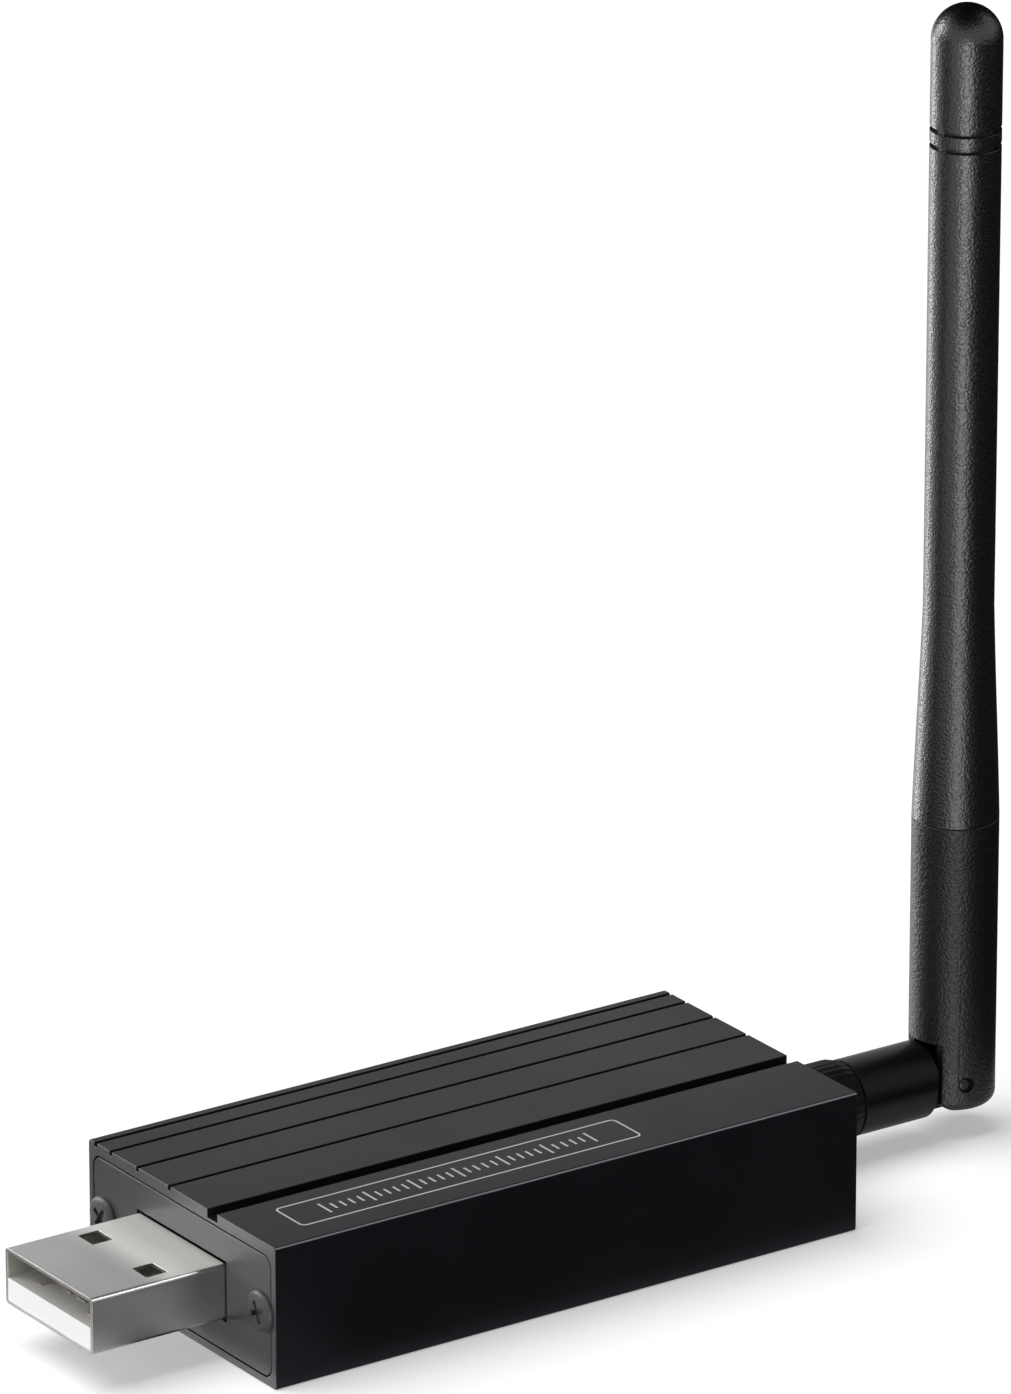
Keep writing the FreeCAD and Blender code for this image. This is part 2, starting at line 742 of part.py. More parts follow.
def build_module():
    """Module board with half-round solder edges, under a pressed shield."""
    body = new_body("radio_module_board")
    outline = new_sketch(body, "module_outline", "XY_Plane", "places.board_top")
    draw_rectangle(outline, "places.module_front", "places.module_rear", "-places.module_side",
                   "places.module_side")
    pad(body, outline, "dims.module_thickness")
    notch = new_sketch(body, "module_notch", "XY_Plane", "places.board_top")
    first = ("(places.module_front + places.module_rear) / 2"
             " - (dims.castellation_count - 1) * dims.castellation_pitch / 2")
    draw_circle(notch, first, "places.module_side", "dims.castellation_radius")
    draw_circle(notch, first, "-places.module_side", "dims.castellation_radius")
    cut = pocket(body, notch, "dims.module_thickness", flipped=True)
    row = body.newObject("PartDesign::LinearPattern", "module_notches")
    row.Originals = [cut]
    row.Direction = (notch, ["H_Axis"])
    row.setExpression("Occurrences", "dims.castellation_count")
    row.setExpression("Length", "(dims.castellation_count - 1) * dims.castellation_pitch")
    body.Tip = row
    doc.recompute()
    can = new_body("radio_shield_can")
    top = new_sketch(can, "can_outline", "XY_Plane", "places.module_top")
    margin = "dims.can_margin"
    draw_round_rectangle(top, "places.module_front + " + margin, "places.module_rear - " + margin,
                         "-places.module_side + " + margin, "places.module_side - " + margin,
                         "dims.can_corner")
    pad(can, top, "dims.can_height")
    hollow = new_sketch(can, "can_hollow", "XY_Plane", "places.module_top")
    inner = margin + " + dims.can_wall"
    draw_round_rectangle(hollow, "places.module_front + " + inner,
                         "places.module_rear - (" + inner + ")",
                         "-places.module_side + " + inner, "places.module_side - (" + inner + ")",
                         "(dims.can_corner - dims.can_wall)")
    pocket(can, hollow, "dims.can_height - dims.can_wall", flipped=True)
    sub_parts.extend([body, can])


def build_bridge_chip():
    """Flat chip with a first-pin dimple."""
    size = "dims.bridge_size"
    chip = box("bridge_block", size, size, "dims.bridge_height",
               "places.bridge_x - dims.bridge_size / 2", "0", "places.board_top")
    dot = doc.addObject("Part::Cylinder", "bridge_dimple")
    dot.setExpression("Radius", "dims.bridge_dot / 2")
    dot.setExpression("Height", "dims.bridge_height / 2")
    place(dot, "places.bridge_x - dims.bridge_size / 2 + dims.bridge_dot * 2",
          "dims.bridge_size / 2 - dims.bridge_dot * 2",
          "places.board_top + dims.bridge_height * 0.9")
    cut = doc.addObject("Part::Cut", "usb_bridge_chip")
    cut.Label = "usb_bridge_chip"
    cut.Base = chip
    cut.Tool = dot
    sub_parts.append(cut)


def build_regulator():
    """Moulded block with a broad tab on one side and three leads on the other."""
    middle = "-places.regulator_y"
    front = "places.bridge_x - dims.regulator_length / 2"
    block = box("regulator_block", "dims.regulator_length", "dims.regulator_width",
                "dims.regulator_height", front, middle, "places.board_top")
    tab = box("regulator_tab", "dims.lead_reach + dims.regulator_length / 2", "dims.tab_width",
              "dims.lead_height", "places.bridge_x", middle, "places.board_top")
    pieces = [block, tab]
    for number in (-1, 0, 1):
        pieces.append(box("regulator_lead_%d" % (number + 2),
                          "dims.lead_reach + dims.regulator_length / 2", "dims.lead_width",
                          "dims.lead_height",
                          front + " - dims.lead_reach",
                          "%s + %d * dims.lead_pitch" % (middle, number), "places.board_top"))
    whole = doc.addObject("Part::MultiFuse", "voltage_regulator")
    whole.Label = "voltage_regulator"
    whole.Shapes = pieces
    sub_parts.append(whole)


def build_crystal():
    """Metal-lidded crystal with rounded corners."""
    body = new_body("crystal")
    outline = new_sketch(body, "crystal_outline", "XY_Plane", "places.board_top")
    half = "dims.crystal_length / 2"
    draw_round_rectangle(outline, "places.bridge_x - " + half, "places.bridge_x + " + half,
                         "places.crystal_y - dims.crystal_width / 2",
                         "places.crystal_y + dims.crystal_width / 2", "dims.crystal_corner")
    pad(body, outline, "dims.crystal_height")
    sub_parts.append(body)


def build_small_parts():
    """Rows of chip capacitors and resistors, and the two status lamps."""
    capacitors = []
    for side in (-1, 1):
        for number in (-1, 0, 1):
            capacitors.append(box(
                "capacitor_%d_%d" % (side + 1, number + 1), "dims.capacitor_length",
                "dims.capacitor_width", "dims.capacitor_height",
                "places.bridge_rear + dims.capacitor_width",
                "%d * dims.capacitor_side + %d * dims.capacitor_pitch" % (side, number),
                "places.board_top"))
    resistors = []
    for number in range(6):
        resistors.append(box(
            "resistor_%d" % number, "dims.resistor_length", "dims.resistor_width",
            "dims.resistor_height",
            "places.module_front + dims.resistor_length + %d * dims.resistor_pitch" % number,
            "places.resistor_y", "places.board_top"))
    lamps = []
    for side in (-1, 1):
        lamps.append(box(
            "lamp_%d" % (side + 1), "dims.led_length", "dims.led_width", "dims.led_height",
            "places.board_front + dims.led_length", "%d * places.led_y" % side,
            "places.board_top"))
    sub_parts.extend([
        group("chip_capacitors", capacitors),
        group("chip_resistors", resistors),
        group("status_leds", lamps),
    ])


# coaxial connector: x counts from the rear face of the case and the axis is the x axis


def on_connector(label):
    body = new_body(label)
    place(body, x="places.rear_face", z="dims.connector_level")
    return body


def build_jack():
    """Block on the board with a threaded barrel through the rear plate."""
    body = on_connector("antenna_jack")
    block = new_sketch(body, "jack_block", "YZ_Plane",
                       "-dims.plate_thickness - dims.jack_block_length")
    half = "dims.jack_block_width / 2"
    draw_rectangle(block, "-" + half, half, "places.board_top - dims.connector_level", half)
    pad(body, block, "dims.jack_block_length")
    barrel = new_sketch(body, "jack_barrel", "YZ_Plane", "-dims.plate_thickness")
    draw_circle(barrel, "0", "0", "places.jack_radius")
    pad(body, barrel, "dims.plate_thickness + dims.jack_reach")
    bore = new_sketch(body, "jack_bore_hole", "YZ_Plane", "dims.jack_reach")
    draw_circle(bore, "0", "0", "dims.jack_bore / 2")
    pocket(body, bore, "dims.jack_reach + dims.plate_thickness + dims.jack_block_length / 2"
                       " + places.tail_radius + dims.tail_gap")
    well = new_sketch(body, "jack_tail_well", "XY_Plane")
    draw_circle(well, "places.tail_x", "0", "places.tail_radius + dims.tail_gap")
    pocket(body, well, "dims.connector_level")
    sub_parts.append(body)


def build_jack_inside():
    """Dielectric with its bore, and the contact that turns down to the board."""
    insulator = on_connector("jack_insulator")
    start = "places.tail_x + places.tail_radius + dims.tail_gap"
    ring = new_sketch(insulator, "jack_insulator_ring", "YZ_Plane", start)
    draw_circle(ring, "0", "0", "dims.jack_bore / 2 - dims.dielectric_fit")
    draw_circle(ring, "0", "0", "dims.contact_diameter / 2 + dims.dielectric_fit")
    pad(insulator, ring, "places.jack_face - (" + start + ")")
    pin = on_connector("jack_center_contact")
    rod = new_sketch(pin, "jack_contact_rod", "YZ_Plane", "places.tail_x")
    draw_circle(rod, "0", "0", "dims.contact_diameter / 2")
    pad(pin, rod, "places.jack_face - places.tail_x")
    tail = new_sketch(pin, "jack_contact_tail", "XY_Plane")
    draw_circle(tail, "places.tail_x", "0", "dims.contact_diameter / 2")
    pad(pin, tail, "dims.connector_level - places.board_bottom + dims.contact_tail", flipped=True)
    socket = new_sketch(pin, "jack_contact_socket", "YZ_Plane", "places.jack_face")
    draw_circle(socket, "0", "0", "dims.socket_diameter / 2")
    pocket(pin, socket, "dims.socket_depth")
    sub_parts.extend([insulator, pin])


def build_jack_hardware():
    """Washer and hexagon nut that hold the jack to the rear plate."""
    washer = on_connector("jack_lock_washer")
    ring = new_sketch(washer, "washer_ring", "YZ_Plane")
    draw_circle(ring, "0", "0", "dims.washer_diameter / 2")
    draw_circle(ring, "0", "0", "places.jack_radius + dims.thread_gap")
    pad(washer, ring, "dims.washer_thickness")
    nut = on_connector("jack_panel_nut")
    hexagon = new_sketch(nut, "nut_hexagon", "YZ_Plane", "places.nut_start")
    corner = "dims.nut_flats / sqrt(3)"
    flat = "dims.nut_flats / 2"
    draw_loop(hexagon, [
        (corner, "0"),
        (corner + " / 2", flat),
        ("-" + corner + " / 2", flat),
        ("-" + corner, "0"),
        ("-" + corner + " / 2", "-" + flat),
        (corner + " / 2", "-" + flat),
    ])
    pad(nut, hexagon, "dims.nut_thickness")
    bevel = new_sketch(nut, "nut_bevel_cut", "XY_Plane")
    rise = "dims.nut_bevel"
    draw_loop(bevel, [
        ("places.nut_end - " + rise, corner),
        ("places.nut_end", flat),
        ("places.nut_end + " + rise, flat),
        ("places.nut_end + " + rise, corner + " + " + rise),
        ("places.nut_end - " + rise, corner + " + " + rise),
    ])
    groove = nut.newObject("PartDesign::Groove", "nut_bevel_turn")
    groove.Profile = bevel
    groove.ReferenceAxis = (bevel, ["H_Axis"])
    groove.Angle = 360.0
    doc.recompute()
    hole = new_sketch(nut, "nut_hole", "YZ_Plane", "places.nut_start")
    draw_circle(hole, "0", "0", "places.jack_radius + dims.thread_gap")
    pocket(nut, hole, "dims.nut_thickness", flipped=True)
    sub_parts.extend([washer, nut])


def build_coupling_nut():
    """Knurled collar that draws the ferrule against the jack."""
    body = on_connector("coupling_nut")
    profile = new_sketch(body, "coupling_profile", "XY_Plane")
    thread = "places.jack_radius + dims.thread_gap"
    throat = "dims.stem_diameter / 2 + dims.coupling_bore_gap"
    draw_loop(profile, [
        ("places.coupling_start", thread),
        ("places.coupling_seat", thread),
        ("places.coupling_seat", throat),
        ("places.coupling_stop", throat),
        ("places.coupling_stop", "dims.coupling_end / 2"),
        ("places.coupling_stop - dims.coupling_taper", "dims.coupling_diameter / 2"),
        ("places.coupling_start", "dims.coupling_diameter / 2"),
    ])
    revolve(body, profile, "H_Axis")
    notch = new_sketch(body, "coupling_knurl_notch", "YZ_Plane", "places.coupling_start")
    rim = "dims.coupling_diameter / 2"
    draw_loop(notch, [
        (rim + " - dims.knurl_depth", "0"),
        (rim + " + dims.knurl_depth", "dims.knurl_width"),
        (rim + " + dims.knurl_depth", "-dims.knurl_width"),
    ])
    cut = pocket(body, notch, "dims.coupling_length - dims.coupling_taper", flipped=True)
    knurl = body.newObject("PartDesign::PolarPattern", "coupling_knurl")
    knurl.Originals = [cut]
    knurl.Axis = (notch, ["N_Axis"])
    knurl.Angle = 360.0
    knurl.setExpression("Occurrences", "dims.knurl_count")
    body.Tip = knurl
    doc.recompute()
    sub_parts.append(body)


def build_ferrule():
    """Flanged ferrule in the coupling nut, with its dielectric and centre pin."""
    body = on_connector("connector_ferrule")
    profile = new_sketch(body, "ferrule_profile", "XY_Plane")
    draw_loop(profile, [
        ("places.ferrule_start", "dims.ferrule_bore / 2"),
        ("places.stem_end", "dims.ferrule_bore / 2"),
        ("places.stem_end", "dims.stem_diameter / 2"),
        ("places.ferrule_seat", "dims.stem_diameter / 2"),
        ("places.ferrule_seat", "dims.ferrule_diameter / 2"),
        ("places.ferrule_start", "dims.ferrule_diameter / 2"),
    ])
    revolve(body, profile, "H_Axis")
    insulator = on_connector("connector_insulator")
    ring = new_sketch(insulator, "connector_insulator_ring", "YZ_Plane", "places.ferrule_start")
    draw_circle(ring, "0", "0", "dims.ferrule_bore / 2 - dims.dielectric_fit")
    draw_circle(ring, "0", "0", "dims.pin_diameter / 2 + dims.dielectric_fit")
    pad(insulator, ring, "places.stem_end - places.ferrule_start")
    pin = on_connector("connector_pin")
    rod = new_sketch(pin, "connector_pin_rod", "YZ_Plane", "places.jack_face - dims.pin_entry")
    draw_circle(rod, "0", "0", "dims.pin_diameter / 2")
    pad(pin, rod, "places.stem_end - places.jack_face + dims.pin_entry")
    sub_parts.extend([body, insulator, pin])


# hinge: the barrel ends in a tongue that stands between the two ears of the fork


def build_barrel():
    """Turned barrel whose shoulders are cut round the pin so that the ears can pass."""
    body = on_connector("knuckle_barrel")
    profile = new_sketch(body, "barrel_profile", "XY_Plane")
    draw_loop(profile, [
        ("places.barrel_start", "0"),
        ("places.barrel_end", "0"),
        ("places.barrel_end", "places.barrel_radius - dims.barrel_chamfer"),
        ("places.barrel_end - dims.barrel_chamfer", "places.barrel_radius"),
        ("places.barrel_start", "places.barrel_radius"),
    ])
    revolve(body, profile, "H_Axis")
    shoulder = new_sketch(body, "barrel_shoulder", "XZ_Plane", "places.tongue_half")
    reach = "places.shoulder_radius"
    rise = "sqrt(places.shoulder_radius ^ 2 - dims.barrel_stop ^ 2)"
    draw_loop(shoulder, [
        ("places.barrel_end", rise, reach),
        ("places.hinge_x - " + reach, "0"),
        ("places.hinge_x - " + reach, "-dims.barrel_diameter"),
        ("places.hinge_x", "-dims.barrel_diameter"),
        ("places.hinge_x", rise),
    ])
    cut = pocket(body, shoulder, "dims.barrel_diameter", flipped=True)
    mirror_feature(body, cut, "XZ_Plane")
    tongue = new_sketch(body, "barrel_tongue", "XZ_Plane")
    radius = "places.tongue_radius"
    draw_loop(tongue, [
        ("places.stem_end", "-" + radius),
        ("places.hinge_x", "-" + radius, radius),
        ("places.hinge_x + " + radius, "0", radius),
        ("places.hinge_x", radius),
        ("places.stem_end", radius),
    ])
    pad(body, tongue, "2 * places.tongue_half", centred=True)
    hole = new_sketch(body, "barrel_pin_hole", "XZ_Plane")
    draw_circle(hole, "places.hinge_x", "0", "dims.hinge_diameter / 2 + dims.hinge_gap")
    pocket(body, hole, "dims.barrel_diameter", centred=True)
    seat = new_sketch(body, "barrel_stem_seat", "YZ_Plane", "places.barrel_start")
    draw_circle(seat, "0", "0", "dims.stem_diameter / 2 + dims.stem_fit")
    pocket(body, seat, "dims.stem_insert", flipped=True)
    feed = new_sketch(body, "barrel_feed_hole", "YZ_Plane", "places.stem_end")
    draw_circle(feed, "0", "0", "dims.feed_hole / 2")
    pocket(body, feed, "places.hinge_x - places.stem_end", flipped=True)
    sub_parts.append(body)


def on_antenna(label):
    """Body whose z axis is the antenna's axis and whose origin is level with the pin."""
    body = new_body(label)
    place(body, x="places.antenna_x", z="dims.connector_level")
    return body


def build_antenna_base():
    """Turned base with a spigot above and a fork below, cut back round the pin."""
    body = on_antenna("antenna_base")
    profile = new_sketch(body, "base_profile", "XZ_Plane")
    draw_loop(profile, [
        ("dims.feed_diameter / 2", "-dims.ear_drop"),
        ("places.base_radius - dims.base_round", "-dims.ear_drop", "dims.base_round"),
        ("places.base_radius", "-dims.ear_drop + dims.base_round"),
        ("places.base_radius", "dims.base_top"),
        ("dims.spigot_diameter / 2", "dims.base_top"),
        ("dims.spigot_diameter / 2", "places.spigot_top"),
        ("dims.bore_diameter / 2", "places.spigot_top"),
        ("dims.bore_diameter / 2", "dims.bore_floor"),
        ("dims.feed_diameter / 2", "dims.bore_floor"),
    ])
    revolve(body, profile, "V_Axis")
    slot = new_sketch(body, "fork_slot_cut", "YZ_Plane")
    draw_rectangle(slot, "-dims.fork_slot / 2", "dims.fork_slot / 2",
                   "-dims.ear_drop - dims.fork_gap", "dims.fork_roof")
    pocket(body, slot, "2 * dims.base_diameter", centred=True)
    front = new_sketch(body, "fork_front_cut", "XZ_Plane")
    drop = "sqrt(dims.ear_drop ^ 2 - places.ear_inset ^ 2)"
    draw_loop(front, [
        ("-dims.base_diameter", "dims.fork_roof"),
        ("-dims.ear_left", "dims.fork_roof"),
        ("-dims.ear_left", "-" + drop, "dims.ear_drop"),
        ("-dims.hinge_offset", "-dims.ear_drop"),
        ("-dims.hinge_offset", "-dims.ear_drop - dims.fork_gap"),
        ("-dims.base_diameter", "-dims.ear_drop - dims.fork_gap"),
    ])
    pocket(body, front, "2 * dims.base_diameter", centred=True)
    hole = new_sketch(body, "fork_pin_hole", "XZ_Plane")
    draw_circle(hole, "-dims.hinge_offset", "0", "dims.hinge_diameter / 2 + dims.hinge_fit")
    pocket(body, hole, "2 * dims.base_diameter", centred=True)
    recess = new_sketch(body, "fork_pin_recess", "XZ_Plane",
                        "sqrt(places.base_radius ^ 2 - dims.hinge_offset ^ 2) - dims.hinge_recess")
    draw_circle(recess, "-dims.hinge_offset", "0", "dims.hinge_recess_diameter / 2")
    cut = pocket(body, recess, "dims.base_diameter", flipped=True)
    mirror_feature(body, cut, "XZ_Plane")
    sub_parts.append(body)


def build_hinge_pin():
    """Pin with rounded ends that shows in the recess of each ear."""
    pin = doc.addObject("Part::Cylinder", "hinge_pin_blank")
    pin.setExpression("Radius", "dims.hinge_diameter / 2")
    reach = "(sqrt(places.base_radius ^ 2 - dims.hinge_offset ^ 2) - dims.hinge_recess / 2)"
    pin.setExpression("Height", "2 * " + reach)
    pin.Placement.Rotation = FreeCAD.Rotation(FreeCAD.Vector(1, 0, 0), 90)
    place(pin, "places.antenna_x - dims.hinge_offset", reach, "dims.connector_level")
    doc.recompute()
    rounded = doc.addObject("Part::Fillet", "hinge_pin")
    rounded.Label = "hinge_pin"
    rounded.Base = pin
    size = value_of("dims.hinge_round")
    rims = [number for number, edge in enumerate(pin.Shape.Edges, start=1) if edge.isClosed()]
    rounded.Edges = [(number, size, size) for number in rims]
    sub_parts.append(rounded)


def build_antenna_sleeve():
    """Hollow sleeve: taper, straight rod with two thin rings, and a round tip."""
    body = on_antenna("antenna_sleeve")
    profile = new_sketch(body, "sleeve_profile", "XZ_Plane")
    outer = "places.sleeve_radius"
    floor = "places.sleeve_radius - dims.ring_depth"
    socket = "dims.spigot_diameter / 2 + dims.sleeve_fit"
    bore = "dims.bore_diameter / 2"
    rings = []
    for level in ("places.ring_level - dims.ring_pitch", "places.ring_level"):
        low = level + " - dims.ring_width / 2"
        high = level + " + dims.ring_width / 2"
        rings += [(outer, low), (floor, low), (floor, high), (outer, high)]
    draw_loop(profile, [
        (socket, "dims.base_top"),
        ("places.base_radius", "dims.base_top"),
        (outer, "dims.taper_end"),
    ] + rings + [
        (outer, "places.dome_level", outer),
        ("0", "dims.antenna_reach"),
        ("0", "dims.antenna_reach - dims.tip_wall"),
        (bore, "dims.antenna_reach - dims.tip_wall - " + bore),
        (bore, "places.spigot_top + dims.spigot_gap"),
        (socket, "places.spigot_top + dims.spigot_gap"),
    ])
    revolve(body, profile, "V_Axis")
    sub_parts.append(body)


def build_radiator():
    """Coaxial feed, brass lower half and wire upper half of the radiator."""
    coax = on_antenna("feed_coax")
    core = new_sketch(coax, "coax_core", "XY_Plane", "dims.coax_start")
    draw_circle(core, "0", "0", "places.coax_radius")
    pad(coax, core, "dims.coax_end - dims.coax_start")
    brass = on_antenna("radiator_sleeve")
    profile = new_sketch(brass, "radiator_profile", "XZ_Plane")
    neck = "places.coax_radius + dims.hinge_fit"
    inner = "dims.brass_diameter / 2 - dims.brass_wall"
    draw_loop(profile, [
        (inner, "places.brass_start"),
        ("dims.brass_diameter / 2", "places.brass_start"),
        ("dims.brass_diameter / 2", "dims.coax_end"),
        (neck, "dims.coax_end"),
        (neck, "dims.coax_end - dims.brass_wall"),
        (inner, "dims.coax_end - dims.brass_wall"),
    ])
    revolve(brass, profile, "V_Axis")
    wire = on_antenna("radiator_wire")
    rod = new_sketch(wire, "radiator_wire_rod", "XY_Plane", "dims.coax_end")
    draw_circle(rod, "0", "0", "dims.wire_diameter / 2")
    pad(wire, rod, "dims.wire_length")
    sub_parts.extend([coax, brass, wire])


build_case()
build_plates()
build_screws()
build_shell()
build_insulator()
build_contacts()
build_board()
build_module()
build_bridge_chip()
build_regulator()
build_crystal()
build_small_parts()
build_jack()
build_jack_inside()
build_jack_hardware()
build_coupling_nut()
build_ferrule()
build_barrel()
build_antenna_base()
build_hinge_pin()
build_antenna_sleeve()
build_radiator()
doc.recompute()

# nothing is written unless every object of the document came out sound

for item in doc.Objects:
    if "Invalid" in item.State or "Error" in item.State:
        raise ValueError("%s did not build: %s" % (item.Label, item.getStatusString()))
for item in sub_parts:
    if item.Shape.isNull() or not item.Shape.isValid():
        raise ValueError("%s has no sound shape" % item.Label)

os.makedirs("parts", exist_ok=True)
for item in sub_parts:
    item.Shape.exportStep("parts/%s.step" % item.Label)
    print("%-22s %2d solids %9.3f mm3" % (item.Label, len(item.Shape.Solids), item.Shape.Volume))
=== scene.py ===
import json
import math

import bmesh
import bpy
from mathutils import Matrix, Vector


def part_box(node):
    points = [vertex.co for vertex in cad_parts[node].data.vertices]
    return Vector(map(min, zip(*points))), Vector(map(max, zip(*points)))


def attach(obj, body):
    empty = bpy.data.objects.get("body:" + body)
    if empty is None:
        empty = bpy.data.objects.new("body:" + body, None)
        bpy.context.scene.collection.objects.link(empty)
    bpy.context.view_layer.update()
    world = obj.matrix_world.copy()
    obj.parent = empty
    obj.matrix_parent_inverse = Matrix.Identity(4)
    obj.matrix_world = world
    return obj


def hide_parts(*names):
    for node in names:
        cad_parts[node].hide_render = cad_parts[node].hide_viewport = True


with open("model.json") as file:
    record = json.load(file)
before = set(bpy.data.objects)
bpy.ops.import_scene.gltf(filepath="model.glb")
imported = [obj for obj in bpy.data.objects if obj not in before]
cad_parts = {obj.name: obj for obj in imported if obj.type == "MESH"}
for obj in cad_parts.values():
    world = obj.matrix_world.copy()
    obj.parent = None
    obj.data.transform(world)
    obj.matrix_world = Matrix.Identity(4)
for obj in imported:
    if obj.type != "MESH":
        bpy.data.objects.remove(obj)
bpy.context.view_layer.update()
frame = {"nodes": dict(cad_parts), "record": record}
nodes = frame["nodes"]
mm = 0.001
plugLevel = 5.53  # height of the middle of the plug, in millimetres
quarterTurn = math.radians(90)
sharpTurn = 35  # an edge that turns by more degrees than this stays sharp


# shared helpers

# sockets of a Mix node for colours
colourA, colourB, mixedColour = 6, 7, 2


def toLinear(code):
    # sRGB hex to the linear colour that the shaders read
    channels = [int(code[place:place + 2], 16) / 255 for place in (0, 2, 4)]
    linear = [c / 12.92 if c <= 0.04045 else ((c + 0.055) / 1.055) ** 2.4 for c in channels]
    return (*linear, 1.0)


def addNode(tree, kind, sockets=None, **settings):
    node = tree.nodes.new(kind)
    for name, value in settings.items():
        setattr(node, name, value)
    for name, value in (sockets or {}).items():
        if isinstance(value, bpy.types.NodeSocket):
            tree.links.new(value, node.inputs[name])
        else:
            node.inputs[name].default_value = value
    return node


def startMaterial(name):
    material = bpy.data.materials.new(name)
    material.use_nodes = True
    tree = material.node_tree
    tree.nodes.clear()
    return material, tree


def addPiece(name, mesh, material, body="stick"):
    piece = bpy.data.objects.new(name, mesh)
    bpy.context.scene.collection.objects.link(piece)
    mesh.materials.clear()
    mesh.materials.append(material)
    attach(piece, body)
    return piece


def evaluatedMesh(holder):
    # the plain mesh of an object with its modifiers run
    bpy.context.view_layer.update()
    graph = bpy.context.evaluated_depsgraph_get()
    mesh = bpy.data.meshes.new_from_object(holder.evaluated_get(graph), depsgraph=graph)
    bpy.data.objects.remove(holder)
    return mesh


# camera

cameraView = {
    "azimuth": -34.514,
    "elevation": 20.396,
    "place": (-437.28, -639.98, 333.35),
    "lens": 286.5,
    "sensor": 36.0,
    "clip": (0.02, 50),
}


def buildCamera():
    turn = math.radians(cameraView["azimuth"])
    rise = math.radians(cameraView["elevation"])
    back = Vector((math.sin(turn) * math.cos(rise), -math.cos(turn) * math.cos(rise), math.sin(rise)))
    right = Vector((math.cos(turn), math.sin(turn), 0))
    up = back.cross(right)
    data = bpy.data.cameras.new("camera")
    data.sensor_fit = "VERTICAL"
    data.sensor_height = cameraView["sensor"]
    data.lens = cameraView["lens"]
    data.clip_start, data.clip_end = cameraView["clip"]
    camera = bpy.data.objects.new("camera", data)
    bpy.context.scene.collection.objects.link(camera)
    turned = Matrix((right, up, back)).transposed().to_4x4()
    place = Vector(cameraView["place"]) * mm
    camera.matrix_world = Matrix.Translation(place) @ turned
    bpy.context.scene.camera = camera


# studio

studio = {
    "floorReach": 6.0,
    "floorColour": "f4f4f4",
    "floorBounce": "3a3a3a",
    "cardLift": 0.05,
    # the papers that only reflections see: their colour, and their corners in millimetres
    "cards": (
        ("808080", ((-60, -13.8, 0), (-150, -350, 0), (-40, -350, 0), (-27, -13.8, 0))),
        ("dadada", ((-27, -13.8, 0), (-40, -350, 0), (-23, -350, 0), (-19, -13.8, 0))),
        ("2c2c2c", ((-19, -13.8, 0), (-23, -350, 0), (800, -350, 0), (800, 1100, 0), (56, 0, 0),
                    (50, -13.8, 0))),
        ("2c2c2c", ((-150, -350, 0), (-150, -350, 90), (800, -350, 90), (800, -350, 0))),
        ("2c2c2c", ((800, -350, 0), (800, -350, 200), (800, 1100, 200), (800, 1100, 0))),
        ("8a8a8a", ((-44, -4, 0), (-44, 19, 0), (-75, 19, 0), (-75, -4, 0))),
        ("1c1c1c", ((-28, -13, 0), (-28, 19, 0), (-33, 19, 0), (-33, -13, 0))),
        ("202020", ((-30, 20, 0), (-20, 38, 0), (-290, 190, 0), (-320, 20, 0))),
        ("202020", ((-30, 14, 0), (-30, 38, 0), (10, 44, 0), (38, 14, 0))),
        ("202020", ((-320, -10, 0), (-290, 190, 0), (-290, 190, 90), (-320, -10, 90))),
        ("1c1c1c", ((-420, -420, 600), (-420, 420, 600), (420, 420, 600), (420, -420, 600))),
        ("101010", ((12, 95, 86), (144, 4, 86), (144, 4, 260), (12, 95, 260))),
    ),
    "worldFill": 0.12,  # light from all round, where the camera and reflections see white
    "floorGlow": 0.38,  # what the camera and reflections see on top of the lit paper
    "lamps": {
        # name: azimuth, height, power, spread; a wide spread is a soft box, a small one a strip
        "keyLight": (146.0, 66.0, 2.15, 55.0),
        "frontBox": (-123.0, -16.0, 1.5, 22.0),
        "rimBox": (124.6, 14.0, 1.85, 24.0),
        "limbStrip": (108.0, -14.0, 0.6, 14.0),
        "plugStrip": (-33.0, 50.0, 0.9, 9.0),
    },
}


def flatMesh(name, corners):
    mesh = bpy.data.meshes.new(name)
    mesh.from_pydata(corners, [], [tuple(range(len(corners)))])
    return mesh


def addSun(name, turn, rise, power, spread, floor=None):
    data = bpy.data.lights.new(name, "SUN")
    data.energy = power
    data.angle = math.radians(spread)
    sun = bpy.data.objects.new(name, data)
    bpy.context.scene.collection.objects.link(sun)
    turn = math.radians(turn)
    rise = math.radians(rise)
    toward = Vector((math.cos(turn) * math.cos(rise), math.sin(turn) * math.cos(rise), math.sin(rise)))
    sun.rotation_euler = toward.to_track_quat("Z", "Y").to_euler()
    if floor:
        # the side boxes light the object alone, so that the paper stays even around it
        for role in ("receiver_collection", "blocker_collection"):
            group = bpy.data.collections.new(name + role.split("_")[0].title())
            group.objects.link(floor)
            group.collection_objects[0].light_linking.link_state = "EXCLUDE"
            setattr(sun.light_linking, role, group)


def seenRays(tree):
    # 1 for what the camera, a gloss or a clear material sees, 0 for bounced light
    rays = addNode(tree, "ShaderNodeLightPath")
    gloss = addNode(tree, "ShaderNodeMath", {
        0: rays.outputs["Is Camera Ray"], 1: rays.outputs["Is Glossy Ray"]}, operation="MAXIMUM")
    seen = addNode(tree, "ShaderNodeMath", {
        0: gloss.outputs[0], 1: rays.outputs["Is Transmission Ray"]}, operation="MAXIMUM")
    return seen.outputs[0]


